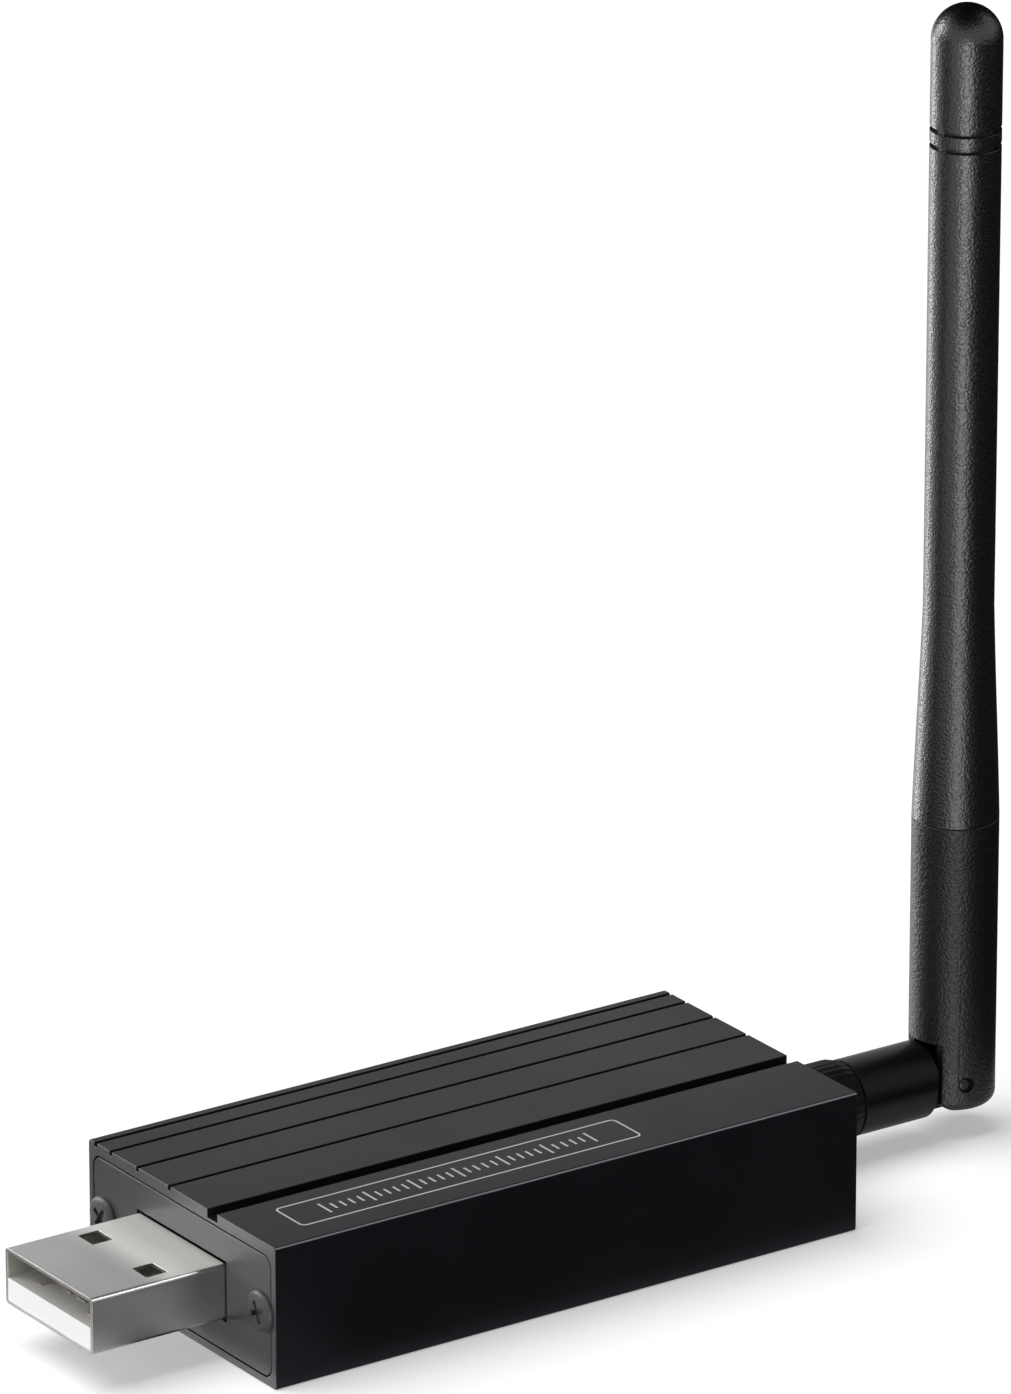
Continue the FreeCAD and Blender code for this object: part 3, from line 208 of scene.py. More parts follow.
def buildStudio():
    reach = studio["floorReach"]
    floor = bpy.data.objects.new("floor", flatMesh("floor", [
        (-reach, -reach, 0), (reach, -reach, 0), (reach, reach, 0), (-reach, reach, 0)]))
    bpy.context.scene.collection.objects.link(floor)
    paper, tree = startMaterial("palePaper")
    colour = addNode(tree, "ShaderNodeMix", {
        "Factor": seenRays(tree), colourA: toLinear(studio["floorBounce"]),
        colourB: toLinear(studio["floorColour"])}, data_type="RGBA")
    sheet = addNode(tree, "ShaderNodeBsdfDiffuse", {"Color": colour.outputs[mixedColour]})
    glow = addNode(tree, "ShaderNodeMath", {0: seenRays(tree), 1: studio["floorGlow"]},
                   operation="MULTIPLY")
    lit = addNode(tree, "ShaderNodeEmission", {"Strength": glow.outputs[0]})
    whole = addNode(tree, "ShaderNodeAddShader", {0: sheet.outputs[0], 1: lit.outputs[0]})
    addNode(tree, "ShaderNodeOutputMaterial", {"Surface": whole.outputs[0]})
    floor.data.materials.append(paper)

    # papers beside and above the object give its metal and plastic dark and dim places to reflect
    points, faces = [], []
    for colour, corners in studio["cards"]:
        faces.append(range(len(points), len(points) + len(corners)))
        points += [(x * mm, y * mm, (z + studio["cardLift"]) * mm) for x, y, z in corners]
    cards = bpy.data.meshes.new("greyCards")
    cards.from_pydata(points, [], [tuple(face) for face in faces])
    card = bpy.data.objects.new("greyCards", cards)
    bpy.context.scene.collection.objects.link(card)
    for number, (colour, corners) in enumerate(studio["cards"]):
        grey, tree = startMaterial("greyPaper%d" % number)
        matte = addNode(tree, "ShaderNodeBsdfDiffuse", {"Color": toLinear(colour)})
        addNode(tree, "ShaderNodeOutputMaterial", {"Surface": matte.outputs[0]})
        cards.materials.append(grey)
        cards.polygons[number].material_index = number
    card.visible_camera = False
    card.visible_shadow = False
    card.visible_diffuse = False

    world = bpy.data.worlds.new("studio")
    bpy.context.scene.world = world
    world.use_nodes = True
    tree = world.node_tree
    tree.nodes.clear()
    strength = addNode(tree, "ShaderNodeMapRange", {
        "Value": seenRays(tree), "To Min": studio["worldFill"], "To Max": 1.0})
    air = addNode(tree, "ShaderNodeBackground", {
        "Color": (1, 1, 1, 1), "Strength": strength.outputs[0]})
    addNode(tree, "ShaderNodeOutputWorld", {"Surface": air.outputs[0]})

    for name, (turn, rise, power, spread) in studio["lamps"].items():
        addSun(name, turn, rise, power, spread, None if name == "keyLight" else floor)
    bpy.context.scene.view_settings.view_transform = "Standard"


buildCamera()
buildStudio()
print("camera and studio made")


# finishes

# a noise seldom leaves the range from low to high, so the maps below spread that range
pattern = {"low": 0.3, "high": 0.7, "detail": 2.0, "moreDetail": 3.0, "cellSmoothness": 0.6}


def millimetres(tree):
    # Object coordinates in millimetres, so that a pattern's scale is 1 over its real size
    place = addNode(tree, "ShaderNodeTexCoord")
    scaled = addNode(tree, "ShaderNodeMapping", {
        "Vector": place.outputs["Object"], "Scale": [1 / mm] * 3})
    return scaled.outputs[0]


def cloudedTone(tree, look, cloud):
    # from the darker to the lighter colour of the look, in soft clouds
    tone = addNode(tree, "ShaderNodeMix", {
        "Factor": cloud.outputs["Fac"], colourA: toLinear(look["dark"]),
        colourB: toLinear(look["light"])}, data_type="RGBA")
    return tone.outputs[mixedColour]


def unevenGloss(tree, look, noise):
    # roughness a little above and below the look's own
    gloss = addNode(tree, "ShaderNodeMapRange", {
        "Value": noise.outputs["Fac"], "From Min": pattern["low"], "From Max": pattern["high"],
        "To Min": look["roughness"] - look["glossRange"],
        "To Max": look["roughness"] + look["glossRange"]})
    return gloss.outputs[0]


def paintedEdgeHighlight(tree, look, place, colour):
    # the two long top edges, where y and z add up to more than anywhere else, get a painted highlight: a
    # pale metallic colour along them
    split = addNode(tree, "ShaderNodeSeparateXYZ", {0: place})
    side = addNode(tree, "ShaderNodeMath", {0: split.outputs["Y"]}, operation="ABSOLUTE")
    total = addNode(tree, "ShaderNodeMath", {0: side.outputs[0], 1: split.outputs["Z"]}, operation="ADD")
    edgeHighlightMask = addNode(tree, "ShaderNodeMapRange", {
        "Value": total.outputs[0], "From Min": look["edgeFrom"],
        "From Max": look["edgeFrom"] + look["edgeBlend"], "To Max": look["edgeHighlightShare"]})
    edgeHighlight = addNode(tree, "ShaderNodeMix", {
        "Factor": edgeHighlightMask.outputs[0], colourA: colour, colourB: toLinear(look["edgeHighlightColour"])},
        data_type="RGBA")
    return edgeHighlight.outputs[mixedColour], edgeHighlightMask.outputs[0]


def blastedMetal(name, look):
    # dyed, oxidised or plated black metal: fine blasted grain, faint lines and soft clouds
    material, tree = startMaterial(name)
    place = millimetres(tree)
    cloud = addNode(tree, "ShaderNodeTexNoise", {
        "Vector": place, "Scale": 1 / look["cloudSize"], "Detail": pattern["moreDetail"]})
    grain = addNode(tree, "ShaderNodeTexNoise", {
        "Vector": place, "Scale": 1 / look["grainSize"], "Detail": pattern["detail"]})
    drawn = addNode(tree, "ShaderNodeMapping", {"Vector": place, "Scale": look["drawScale"]})
    lines = addNode(tree, "ShaderNodeTexNoise", {
        "Vector": drawn.outputs[0], "Scale": 1 / look["lineSize"], "Detail": pattern["detail"]})
    relief = addNode(tree, "ShaderNodeMath", {
        0: grain.outputs["Fac"], 1: lines.outputs["Fac"]}, operation="ADD")
    speck = addNode(tree, "ShaderNodeMapRange", {
        "Value": grain.outputs["Fac"], "From Min": pattern["low"], "From Max": pattern["high"],
        "To Min": 1 - look["speckle"], "To Max": 1 + look["speckle"]})
    tinted = addNode(tree, "ShaderNodeVectorMath", {
        0: cloudedTone(tree, look, cloud), "Scale": speck.outputs[0]}, operation="SCALE")
    bump = addNode(tree, "ShaderNodeBump", {
        "Height": relief.outputs[0], "Distance": look["grainDepth"] * mm, "Strength": look["bump"]})
    colour, metal = tinted.outputs[0], 0.0
    if "edgeFrom" in look:
        colour, metal = paintedEdgeHighlight(tree, look, place, colour)
    shader = addNode(tree, "ShaderNodeBsdfPrincipled", {
        "Base Color": colour, "Roughness": unevenGloss(tree, look, cloud), "Normal": bump.outputs[0],
        "Metallic": metal, "IOR": look["ior"], "Specular IOR Level": look["specular"],
        "Specular Tint": toLinear(look["tint"])})
    addNode(tree, "ShaderNodeOutputMaterial", {"Surface": shader.outputs[0]})
    return material


def mouldedPlastic(name, look):
    # injection-moulded plastic: the tool's spark-eroded pebble shows as grain in every highlight
    material, tree = startMaterial(name)
    place = millimetres(tree)
    warp = addNode(tree, "ShaderNodeTexNoise", {
        "Vector": place, "Scale": 1 / look["pebble"], "Detail": pattern["detail"]})
    cells = addNode(tree, "ShaderNodeTexVoronoi", {
        "Vector": place, "Scale": 1 / look["pebble"], "Smoothness": pattern["cellSmoothness"]},
        feature="SMOOTH_F1")
    height = addNode(tree, "ShaderNodeMath", {
        0: warp.outputs["Fac"], 1: cells.outputs["Distance"]}, operation="SUBTRACT")
    cloud = addNode(tree, "ShaderNodeTexNoise", {
        "Vector": place, "Scale": 1 / look["cloudSize"], "Detail": pattern["detail"]})
    bump = addNode(tree, "ShaderNodeBump", {
        "Height": height.outputs[0], "Distance": look["pebbleDepth"] * mm, "Strength": look["bump"]})
    colour = cloudedTone(tree, look, cloud)
    if "upper" in look:
        # the faces that look up are painted greyer than the moulded front: painted shade from the shell
        # that covers them
        facing = addNode(tree, "ShaderNodeTexCoord")
        split = addNode(tree, "ShaderNodeSeparateXYZ", {0: facing.outputs["Normal"]})
        rising = addNode(tree, "ShaderNodeMapRange", {
            "Value": split.outputs["Z"], "From Min": look["upperFacing"][0],
            "From Max": look["upperFacing"][1]})
        paintedShadeTop = addNode(tree, "ShaderNodeMix", {
            "Factor": rising.outputs[0], colourA: colour, colourB: toLinear(look["upper"])},
            data_type="RGBA")
        colour = paintedShadeTop.outputs[mixedColour]
    shader = addNode(tree, "ShaderNodeBsdfPrincipled", {
        "Base Color": colour, "Roughness": unevenGloss(tree, look, warp), "Normal": bump.outputs[0],
        "Metallic": 0.0, "IOR": look["ior"], "Specular IOR Level": look["specular"]})
    addNode(tree, "ShaderNodeOutputMaterial", {"Surface": shader.outputs[0]})
    return material


def shellShading(tree, look, place, colour, rough):
    # towards the case the flat top is duller, and painted paler as a painted reflection
    split = addNode(tree, "ShaderNodeSeparateXYZ", {0: place})
    along = addNode(tree, "ShaderNodeMapRange", {
        "Value": split.outputs["X"], "From Min": look["mattAndSheenFrom"], "From Max": look["mattAndSheenTo"]},
        interpolation_type="SMOOTHSTEP")
    facing = addNode(tree, "ShaderNodeTexCoord")
    rising = addNode(tree, "ShaderNodeSeparateXYZ", {0: facing.outputs["Normal"]})
    top = addNode(tree, "ShaderNodeMapRange", {
        "Value": rising.outputs["Z"], "From Min": look["topFacing"][0], "From Max": look["topFacing"][1]})
    share = addNode(tree, "ShaderNodeMath", {0: top.outputs[0], 1: along.outputs[0]}, operation="MULTIPLY")
    more = addNode(tree, "ShaderNodeMath", {
        0: share.outputs[0], 1: look["mattMore"], 2: rough}, operation="MULTIPLY_ADD")
    paintedSheen = addNode(tree, "ShaderNodeMix", {
        "Factor": share.outputs[0], colourA: colour, colourB: toLinear(look["paintedSheenColour"])},
        data_type="RGBA")
    # past the front plate the top is painted dark, a painted shade that makes the gap of the slot look
    # dark
    within = addNode(tree, "ShaderNodeMapRange", {
        "Value": split.outputs["X"], "From Min": look["innerFrom"],
        "From Max": look["innerFrom"] + look["innerBlend"], "To Max": top.outputs[0]})
    inner = addNode(tree, "ShaderNodeMix", {
        "Factor": within.outputs[0], colourA: paintedSheen.outputs[mixedColour],
        colourB: toLinear(look["slotShadeColour"])}, data_type="RGBA")
    # inside the shell the plating is painted pale, a painted light on surfaces that lie in shade
    across = addNode(tree, "ShaderNodeMath", {0: split.outputs["Y"]}, operation="ABSOLUTE")
    past = addNode(tree, "ShaderNodeMath", {
        0: across.outputs[0], 1: look["insideHalf"][0]}, operation="SUBTRACT")
    rise = addNode(tree, "ShaderNodeMath", {0: split.outputs["Z"], 1: plugLevel}, operation="SUBTRACT")
    height = addNode(tree, "ShaderNodeMath", {0: rise.outputs[0]}, operation="ABSOLUTE")
    above = addNode(tree, "ShaderNodeMath", {
        0: height.outputs[0], 1: look["insideHalf"][1]}, operation="SUBTRACT")
    outer = addNode(tree, "ShaderNodeMath", {0: past.outputs[0], 1: above.outputs[0]}, operation="MAXIMUM")
    inside = addNode(tree, "ShaderNodeMath", {0: outer.outputs[0], 1: 0.0}, operation="LESS_THAN")
    paintedInsideLight = addNode(tree, "ShaderNodeMix", {
        "Factor": inside.outputs[0], colourA: inner.outputs[mixedColour],
        colourB: toLinear(look["paintedInsideLightColour"])}, data_type="RGBA")
    return paintedInsideLight.outputs[mixedColour], more.outputs[0]


def platedMetal(name, look):
    # plated sheet or turned metal: faint rolling lines, and soft clouds in the colour
    material, tree = startMaterial(name)
    place = millimetres(tree)
    stretched = addNode(tree, "ShaderNodeMapping", {"Vector": place, "Scale": look["drawScale"]})
    lines = addNode(tree, "ShaderNodeTexNoise", {
        "Vector": stretched.outputs[0], "Scale": 1 / look["lineSize"], "Detail": pattern["moreDetail"]})
    cloud = addNode(tree, "ShaderNodeTexNoise", {
        "Vector": place, "Scale": 1 / look["cloudSize"], "Detail": pattern["detail"]})
    bump = addNode(tree, "ShaderNodeBump", {
        "Height": lines.outputs["Fac"], "Distance": look["lineDepth"] * mm, "Strength": look["bump"]})
    colour, rough = cloudedTone(tree, look, cloud), unevenGloss(tree, look, lines)
    if "mattAndSheenFrom" in look:
        colour, rough = shellShading(tree, look, place, colour, rough)
    shader = addNode(tree, "ShaderNodeBsdfPrincipled", {
        "Base Color": colour, "Roughness": rough, "Normal": bump.outputs[0], "Metallic": 1.0})
    addNode(tree, "ShaderNodeOutputMaterial", {"Surface": shader.outputs[0]})
    return material


# Sizes and depths of the patterns are in millimetres. Blasting and spark erosion leave a grain of a few
# hundredths, too fine to show, so it is drawn as coarse as the render needs.

# anodised aluminium, extruded and blasted: dark satin, with faint lines along it and a painted highlight
# along its long top edges
caseLook = {
    "dark": "0a0b0d", "light": "0e1012", "cloudSize": 14.0, "grainSize": 0.12, "lineSize": 0.35,
    "drawScale": (0.02, 1, 1), "speckle": 0.12, "roughness": 0.48, "grainDepth": 0.004, "bump": 0.5,
    "glossRange": 0.03, "ior": 1.5, "specular": 0.23, "tint": "e6ecff",
    # the edge values paint a pale metallic highlight along the two long top edges
    "edgeFrom": 23.985, "edgeBlend": 0.02, "edgeHighlightShare": 0.8, "edgeHighlightColour": "a5a7aa",
}
# anodised aluminium plate, blasted coarser: greyer than the case, with a visible grain
plateLook = {
    "dark": "343435", "light": "404041", "cloudSize": 6.0, "grainSize": 0.2, "lineSize": 0.5,
    "drawScale": (1, 1, 1), "speckle": 0.16, "roughness": 0.4, "grainDepth": 0.014, "bump": 0.9,
    "glossRange": 0.03, "ior": 1.5, "specular": 0.6, "tint": "ffffff",
}
# the same aluminium at its sawn and blasted ends: grey and dull
endLook = {
    "dark": "3a3a3b", "light": "464647", "cloudSize": 6.0, "grainSize": 0.16, "lineSize": 0.4,
    "drawScale": (1, 1, 1), "speckle": 0.12, "roughness": 0.4, "grainDepth": 0.01, "bump": 0.8,
    "glossRange": 0.03, "ior": 1.5, "specular": 0.65, "tint": "ffffff",
}
# black-oxide steel, cold headed: dull dark grey
screwLook = {
    "dark": "424242", "light": "4d4d4d", "cloudSize": 1.5, "grainSize": 0.1, "lineSize": 0.3,
    "drawScale": (1, 1, 1), "speckle": 0.1, "roughness": 0.42, "grainDepth": 0.004, "bump": 0.4,
    "glossRange": 0.03, "ior": 1.5, "specular": 0.4, "tint": "ffffff",
}
# black-plated brass, turned and knurled: nearly black, with little highlight
couplingLook = {
    "dark": "050505", "light": "070708", "cloudSize": 2.0, "grainSize": 0.1, "lineSize": 0.3,
    "drawScale": (1, 1, 1), "speckle": 0.08, "roughness": 0.5, "grainDepth": 0.003, "bump": 0.3,
    "glossRange": 0.03, "ior": 1.5, "specular": 0.1, "tint": "ffffff",
}
# moulded plastic sleeve, finely textured: satin, with a grainy highlight down its length
sleeveLook = {
    "dark": "060606", "light": "080808", "pebble": 0.2, "cloudSize": 9.0, "roughness": 0.34,
    "glossRange": 0.04, "pebbleDepth": 0.028, "bump": 0.9, "ior": 1.5, "specular": 0.7,
}
# moulded plastic base, textured coarser: more matte than the sleeve
baseLook = {
    "dark": "040404", "light": "070707", "pebble": 0.22, "cloudSize": 7.0, "roughness": 0.46,
    "glossRange": 0.05, "pebbleDepth": 0.036, "bump": 0.95, "ior": 1.5, "specular": 0.38,
}
# moulded plastic from a polished tool: smooth, with one soft highlight
barrelLook = {
    "dark": "060607", "light": "09090b", "pebble": 0.12, "cloudSize": 5.0, "roughness": 0.36,
    "glossRange": 0.02, "pebbleDepth": 0.002, "bump": 0.3, "ior": 1.5, "specular": 0.14,
}
# white moulded plastic: clean and even, with painted shade on the faces that look up
tongueLook = {
    "dark": "f2f2f2", "light": "f8f8f8", "pebble": 0.2, "cloudSize": 4.0, "roughness": 0.4,
    "glossRange": 0.04, "pebbleDepth": 0.002, "bump": 0.3, "ior": 1.49, "specular": 0.5,
    "upper": "b2b0ac", "upperFacing": (0.3, 0.8),
}
# turned fluoropolymer of the coaxial parts: waxy white
dielectricLook = {
    "dark": "eeeeea", "light": "f4f4f1", "pebble": 0.2, "cloudSize": 4.0, "roughness": 0.45,
    "glossRange": 0.04, "pebbleDepth": 0.002, "bump": 0.3, "ior": 1.4, "specular": 0.5,
}
# moulded epoxy of the chips: dry dark grey
chipLook = {
    "dark": "1c1c1c", "light": "242424", "pebble": 0.1, "cloudSize": 2.0, "roughness": 0.7,
    "glossRange": 0.05, "pebbleDepth": 0.006, "bump": 0.6, "ior": 1.55, "specular": 0.5,
}
# printed circuit board under black solder mask: slightly uneven gloss
boardLook = {
    "dark": "0c120f", "light": "141b17", "pebble": 0.6, "cloudSize": 2.5, "roughness": 0.4,
    "glossRange": 0.06, "pebbleDepth": 0.01, "bump": 0.5, "ior": 1.5, "specular": 0.5,
}
# fired ceramic of the capacitors: dull tan
capacitorLook = {
    "dark": "8a6a48", "light": "9a7a56", "pebble": 0.08, "cloudSize": 0.8, "roughness": 0.5,
    "glossRange": 0.05, "pebbleDepth": 0.003, "bump": 0.4, "ior": 1.6, "specular": 0.5,
}
# glazed ceramic of the resistors: dull black
resistorLook = {
    "dark": "151515", "light": "202020", "pebble": 0.08, "cloudSize": 0.6, "roughness": 0.5,
    "glossRange": 0.05, "pebbleDepth": 0.003, "bump": 0.4, "ior": 1.6, "specular": 0.5,
}
# clear epoxy of the lamps: pale and glossy
lampLook = {
    "dark": "d9e2cf", "light": "e6eddd", "pebble": 0.1, "cloudSize": 0.6, "roughness": 0.25,
    "glossRange": 0.04, "pebbleDepth": 0.002, "bump": 0.3, "ior": 1.5, "specular": 0.5,
}
# extruded jacket of the coaxial cable: brown and slightly waxy
jacketLook = {
    "dark": "4f3220", "light": "5c3b26", "pebble": 0.3, "cloudSize": 3.0, "roughness": 0.45,
    "glossRange": 0.05, "pebbleDepth": 0.004, "bump": 0.4, "ior": 1.4, "specular": 0.5,
}
# folded steel sheet, nickel plated: soft warm grey reflections, with faint rolling lines
nickelLook = {
    "dark": "9c9b9a", "light": "a9a8a6", "drawScale": (0.06, 1, 1), "lineSize": 0.18, "cloudSize": 5.0,
    "roughness": 0.36, "glossRange": 0.02, "lineDepth": 0.001, "bump": 0.12,
    # towards the case the top turns rougher and is painted paler, as a painted reflection
    "mattAndSheenFrom": -34.0, "mattAndSheenTo": -30.5, "mattMore": 0.22, "paintedSheenColour": "d6d5d2",
    # past the plate the top is painted dark, as painted shade in the slot's gap
    "topFacing": (0.85, 0.97), "innerFrom": -26.53, "innerBlend": 0.03, "slotShadeColour": "262524",
    # inside the shell the plating is painted pale, as painted light in the shaded mouth and windows
    "insideHalf": (5.704, 1.954), "paintedInsideLightColour": "e8e7e4",
}
# plated contacts, dulled by use
contactLook = {
    "dark": "c6c2ba", "light": "d2cec6", "drawScale": (0.1, 1, 1), "lineSize": 0.15, "cloudSize": 1.5,
    "roughness": 0.55, "glossRange": 0.04, "lineDepth": 0.002, "bump": 0.2,
}
# gold plate and plain brass: yellow, with faint turning lines
goldLook = {
    "dark": "d6aa55", "light": "e3bb68", "drawScale": (0.1, 1, 1), "lineSize": 0.15, "cloudSize": 1.5,
    "roughness": 0.22, "glossRange": 0.04, "lineDepth": 0.002, "bump": 0.3,
}
# pressed sheet, tin plated: bright grey with a soft sheen
tinLook = {
    "dark": "bdbdbb", "light": "cacac7", "drawScale": (0.1, 1, 1), "lineSize": 0.3, "cloudSize": 3.0,
    "roughness": 0.35, "glossRange": 0.05, "lineDepth": 0.003, "bump": 0.35,
}
# zinc-plated steel of the washer: plain grey
steelLook = {
    "dark": "9c9c9a", "light": "a8a8a6", "drawScale": (1, 1, 1), "lineSize": 0.2, "cloudSize": 2.0,
    "roughness": 0.35, "glossRange": 0.05, "lineDepth": 0.003, "bump": 0.35,
}
# blackened steel pin, drawn along its length: dark, with a small highlight
pinLook = {
    "dark": "3a3a3a", "light": "444444", "drawScale": (1, 0.2, 1), "lineSize": 0.1, "cloudSize": 1.0,
    "roughness": 0.35, "glossRange": 0.04, "lineDepth": 0.003, "bump": 0.3,
}
# bare copper wire: warm, with lines along it
copperLook = {
    "dark": "b46a42", "light": "c77a50", "drawScale": (1, 1, 0.05), "lineSize": 0.1, "cloudSize": 1.5,
    "roughness": 0.3, "glossRange": 0.05, "lineDepth": 0.002, "bump": 0.3,
}
# screen-printed ink: pale grey and matte
inkLook = {
    "dark": "b4b6b8", "light": "c2c4c6", "pebble": 0.1, "cloudSize": 3.0, "roughness": 0.55,
    "glossRange": 0.04, "pebbleDepth": 0.003, "bump": 0.4, "ior": 1.5, "specular": 0.3,
}

finishes = {
    "anodised_black": blastedMetal("blackAnodisedAluminium", caseLook),
    "plate_black": blastedMetal("blastedBlackPlate", plateLook),
    "screw_black": blastedMetal("blackOxideSteel", screwLook),
    "coupling_black": blastedMetal("blackPlatedBrass", couplingLook),
    "sleeve_black": mouldedPlastic("satinMouldedSleeve", sleeveLook),
    "base_black": mouldedPlastic("matteMouldedBase", baseLook),
    "barrel_black": mouldedPlastic("smoothMouldedBarrel", barrelLook),
    "white_insulator": mouldedPlastic("whiteMouldedTongue", tongueLook),
    "dielectric_white": mouldedPlastic("whiteDielectric", dielectricLook),
    "chip_black": mouldedPlastic("mouldedEpoxy", chipLook),
    "board_black": mouldedPlastic("solderMask", boardLook),
    "ceramic_tan": mouldedPlastic("tanCeramic", capacitorLook),
    "ceramic_black": mouldedPlastic("blackCeramic", resistorLook),
    "lamp_clear": mouldedPlastic("clearResin", lampLook),
    "coax_brown": mouldedPlastic("brownJacket", jacketLook),
    "nickel": platedMetal("nickelPlatedSteel", nickelLook),
    "gold_plate": platedMetal("goldPlate", goldLook),
    "jack_gold": platedMetal("goldPlatedJack", goldLook),
    "shield_tin": platedMetal("tinPlate", tinLook),
    "crystal_metal": platedMetal("groundLid", tinLook),
    "washer_steel": platedMetal("platedSteel", steelLook),
    "pin_steel": platedMetal("blackenedPin", pinLook),
    "radiator_brass": platedMetal("plainBrass", goldLook),
    "wire_copper": platedMetal("bareCopper", copperLook),
}
paleInk = mouldedPlastic("paleScreenInk", inkLook)
sawnEnd = blastedMetal("sawnAluminiumEnd", endLook)
special = {"usb_contacts": platedMetal("dulledContactPlate", contactLook)}

for row in frame["record"]["subparts"]:
    mesh = nodes[row["node"]].data
    mesh.materials.clear()
    mesh.materials.append(special.get(row["node"], finishes[row["material_slot"]]))
print("finishes made:", len(finishes))


# pieces cut from the CAD shapes, with their edges broken

softening = {
    "merge": 0.0002,  # millimetres between points that are one
    "flat": 0.6,  # degrees between faces that are one
    "turn": 32,  # degrees from which an edge is rounded
    "steps": 2,
}


def softenedCopy(node, name, edge, slotName, body, spared=None):
    # a merged copy of the node with small round edges, which catch the light as real ones do
    source = nodes[node].data
    bm = bmesh.new()
    for vert in source.vertices:
        bm.verts.new(vert.co)
    bm.verts.ensure_lookup_table()
    for face in source.polygons:
        bm.faces.new([bm.verts[index] for index in face.vertices])
    bmesh.ops.remove_doubles(bm, verts=bm.verts, dist=softening["merge"] * mm)
    bmesh.ops.dissolve_limit(
        bm, angle_limit=math.radians(softening["flat"]), verts=bm.verts, edges=bm.edges)
    weight = bm.edges.layers.float.new("bevel_weight_edge")
    for line in bm.edges:
        if line.calc_face_angle(0.0) < math.radians(softening["turn"]):
            continue
        middle = (line.verts[0].co + line.verts[1].co) / 2
        if spared and math.hypot(middle.x - spared[0] * mm, middle.z - spared[1] * mm) < spared[2] * mm:
            line.smooth = False
        else:
            line[weight] = 1.0
    mesh = bpy.data.meshes.new(name)
    bm.to_mesh(mesh)
    bm.free()
    mesh.shade_smooth()
    holder = bpy.data.objects.new(name, mesh)
    bpy.context.scene.collection.objects.link(holder)
    soft = holder.modifiers.new("edges", "BEVEL")
    soft.width = edge * mm
    soft.segments = softening["steps"]
    soft.limit_method = "WEIGHT"
    soft.use_clamp_overlap = False
    soft.harden_normals = True
    soft.miter_outer = "MITER_ARC"
    piece = addPiece(name, evaluatedMesh(holder), finishes[slotName], body)
    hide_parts(node)


softened = [
    # node, piece, edge, finish, body, and the x, z and reach of a hole whose rim stays sharp
    ("case_extrusion", "caseExtrusion", 0.05, "anodised_black", "stick"),
    ("front_plate", "frontPlate", 0.05, "plate_black", "stick"),
    ("rear_plate", "rearPlate", 0.05, "plate_black", "stick"),
    ("usb_shell", "usbShell", 0.04, "nickel", "stick"),
    ("usb_insulator", "usbTongue", 0.04, "white_insulator", "stick"),
    ("jack_panel_nut", "panelNut", 0.05, "jack_gold", "stick"),
    ("jack_lock_washer", "lockWasher", 0.04, "washer_steel", "stick"),
    ("knuckle_barrel", "knuckleBarrel", 0.08, "barrel_black", "knuckle"),
    ("antenna_base", "antennaBase", 0.1, "base_black", "antenna", (44.0, 4.7, 0.9)),
]
for row in softened:
    softenedCopy(*row)
print("softened pieces:", len(softened))


caseEnd = {"place": 26.48, "facing": 0.7}


def dressCaseEnds():
    # the profile is sawn to length and blasted before dyeing, so its two ends are greyer than its sides
    mesh = bpy.data.objects["caseExtrusion"].data
    mesh.materials.append(sawnEnd)
    for face in mesh.polygons:
        if abs(face.center.x) > caseEnd["place"] * mm and abs(face.normal.x) > caseEnd["facing"]:
            face.material_index = 1


plugSlot = {"halfWidth": 6.12, "halfHeight": 2.37, "reach": 0.08, "taller": 0.08}


def heightenPlugSlot():
    # the punched slot is a little taller than the plug, and the gap shows as a dark line above it,
    # deepened by painted shade on the plug's top past the plate
    moved = 0
    for vert in bpy.data.objects["frontPlate"].data.vertices:
        across, level = vert.co.y / mm, vert.co.z / mm - plugLevel
        besidePlug = abs(across) < plugSlot["halfWidth"] + plugSlot["reach"]
        if besidePlug and abs(level) < plugSlot["halfHeight"] + plugSlot["reach"]:
            vert.co.z += math.copysign(plugSlot["taller"], level) * mm
            moved += 1
    return moved


dressCaseEnds()
print("case ends dressed, points of the plug's slot moved:", heightenPlugSlot())


# trees of Geometry Nodes

def newTree(name, inputs):
    tree = bpy.data.node_groups.new(name, "GeometryNodeTree")
    tree.interface.new_socket("Geometry", in_out="INPUT", socket_type="NodeSocketGeometry")
    for label, kind in inputs.items():
        tree.interface.new_socket(label, in_out="INPUT", socket_type="NodeSocket" + kind)
    tree.interface.new_socket("Geometry", in_out="OUTPUT", socket_type="NodeSocketGeometry")
    return tree, tree.nodes.new("NodeGroupInput").outputs


def closeTree(tree, geometry, finish):
    real = addNode(tree, "GeometryNodeRealizeInstances", {0: geometry})
    dressed = addNode(tree, "GeometryNodeSetMaterial", {"Geometry": real.outputs[0], "Material": finish})
    addNode(tree, "NodeGroupOutput", {0: dressed.outputs[0]})


def runTree(tree, base, values, sharp=sharpTurn):
    holder = bpy.data.objects.new(tree.name, base)
    bpy.context.scene.collection.objects.link(holder)
    modifier = holder.modifiers.new("nodes", "NODES")
    modifier.node_group = tree
    for item in tree.interface.items_tree:
        if item.in_out == "INPUT" and item.name in values:
            modifier[item.identifier] = values[item.name]
    mesh = evaluatedMesh(holder)
    mesh.shade_smooth()
    mesh.set_sharp_from_angle(angle=math.radians(sharp))
    return mesh


def stationLine(name, stations):
    # a line along z whose points carry the radius of a turned shape there
    line = bpy.data.meshes.new(name)
    line.from_pydata([(0, 0, height * mm) for height, radius in stations],
                     [(k, k + 1) for k in range(len(stations) - 1)], [])
    reach = line.attributes.new("reach", "FLOAT", "POINT")
    for place, (height, radius) in enumerate(stations):
        reach.data[place].value = radius
    return line


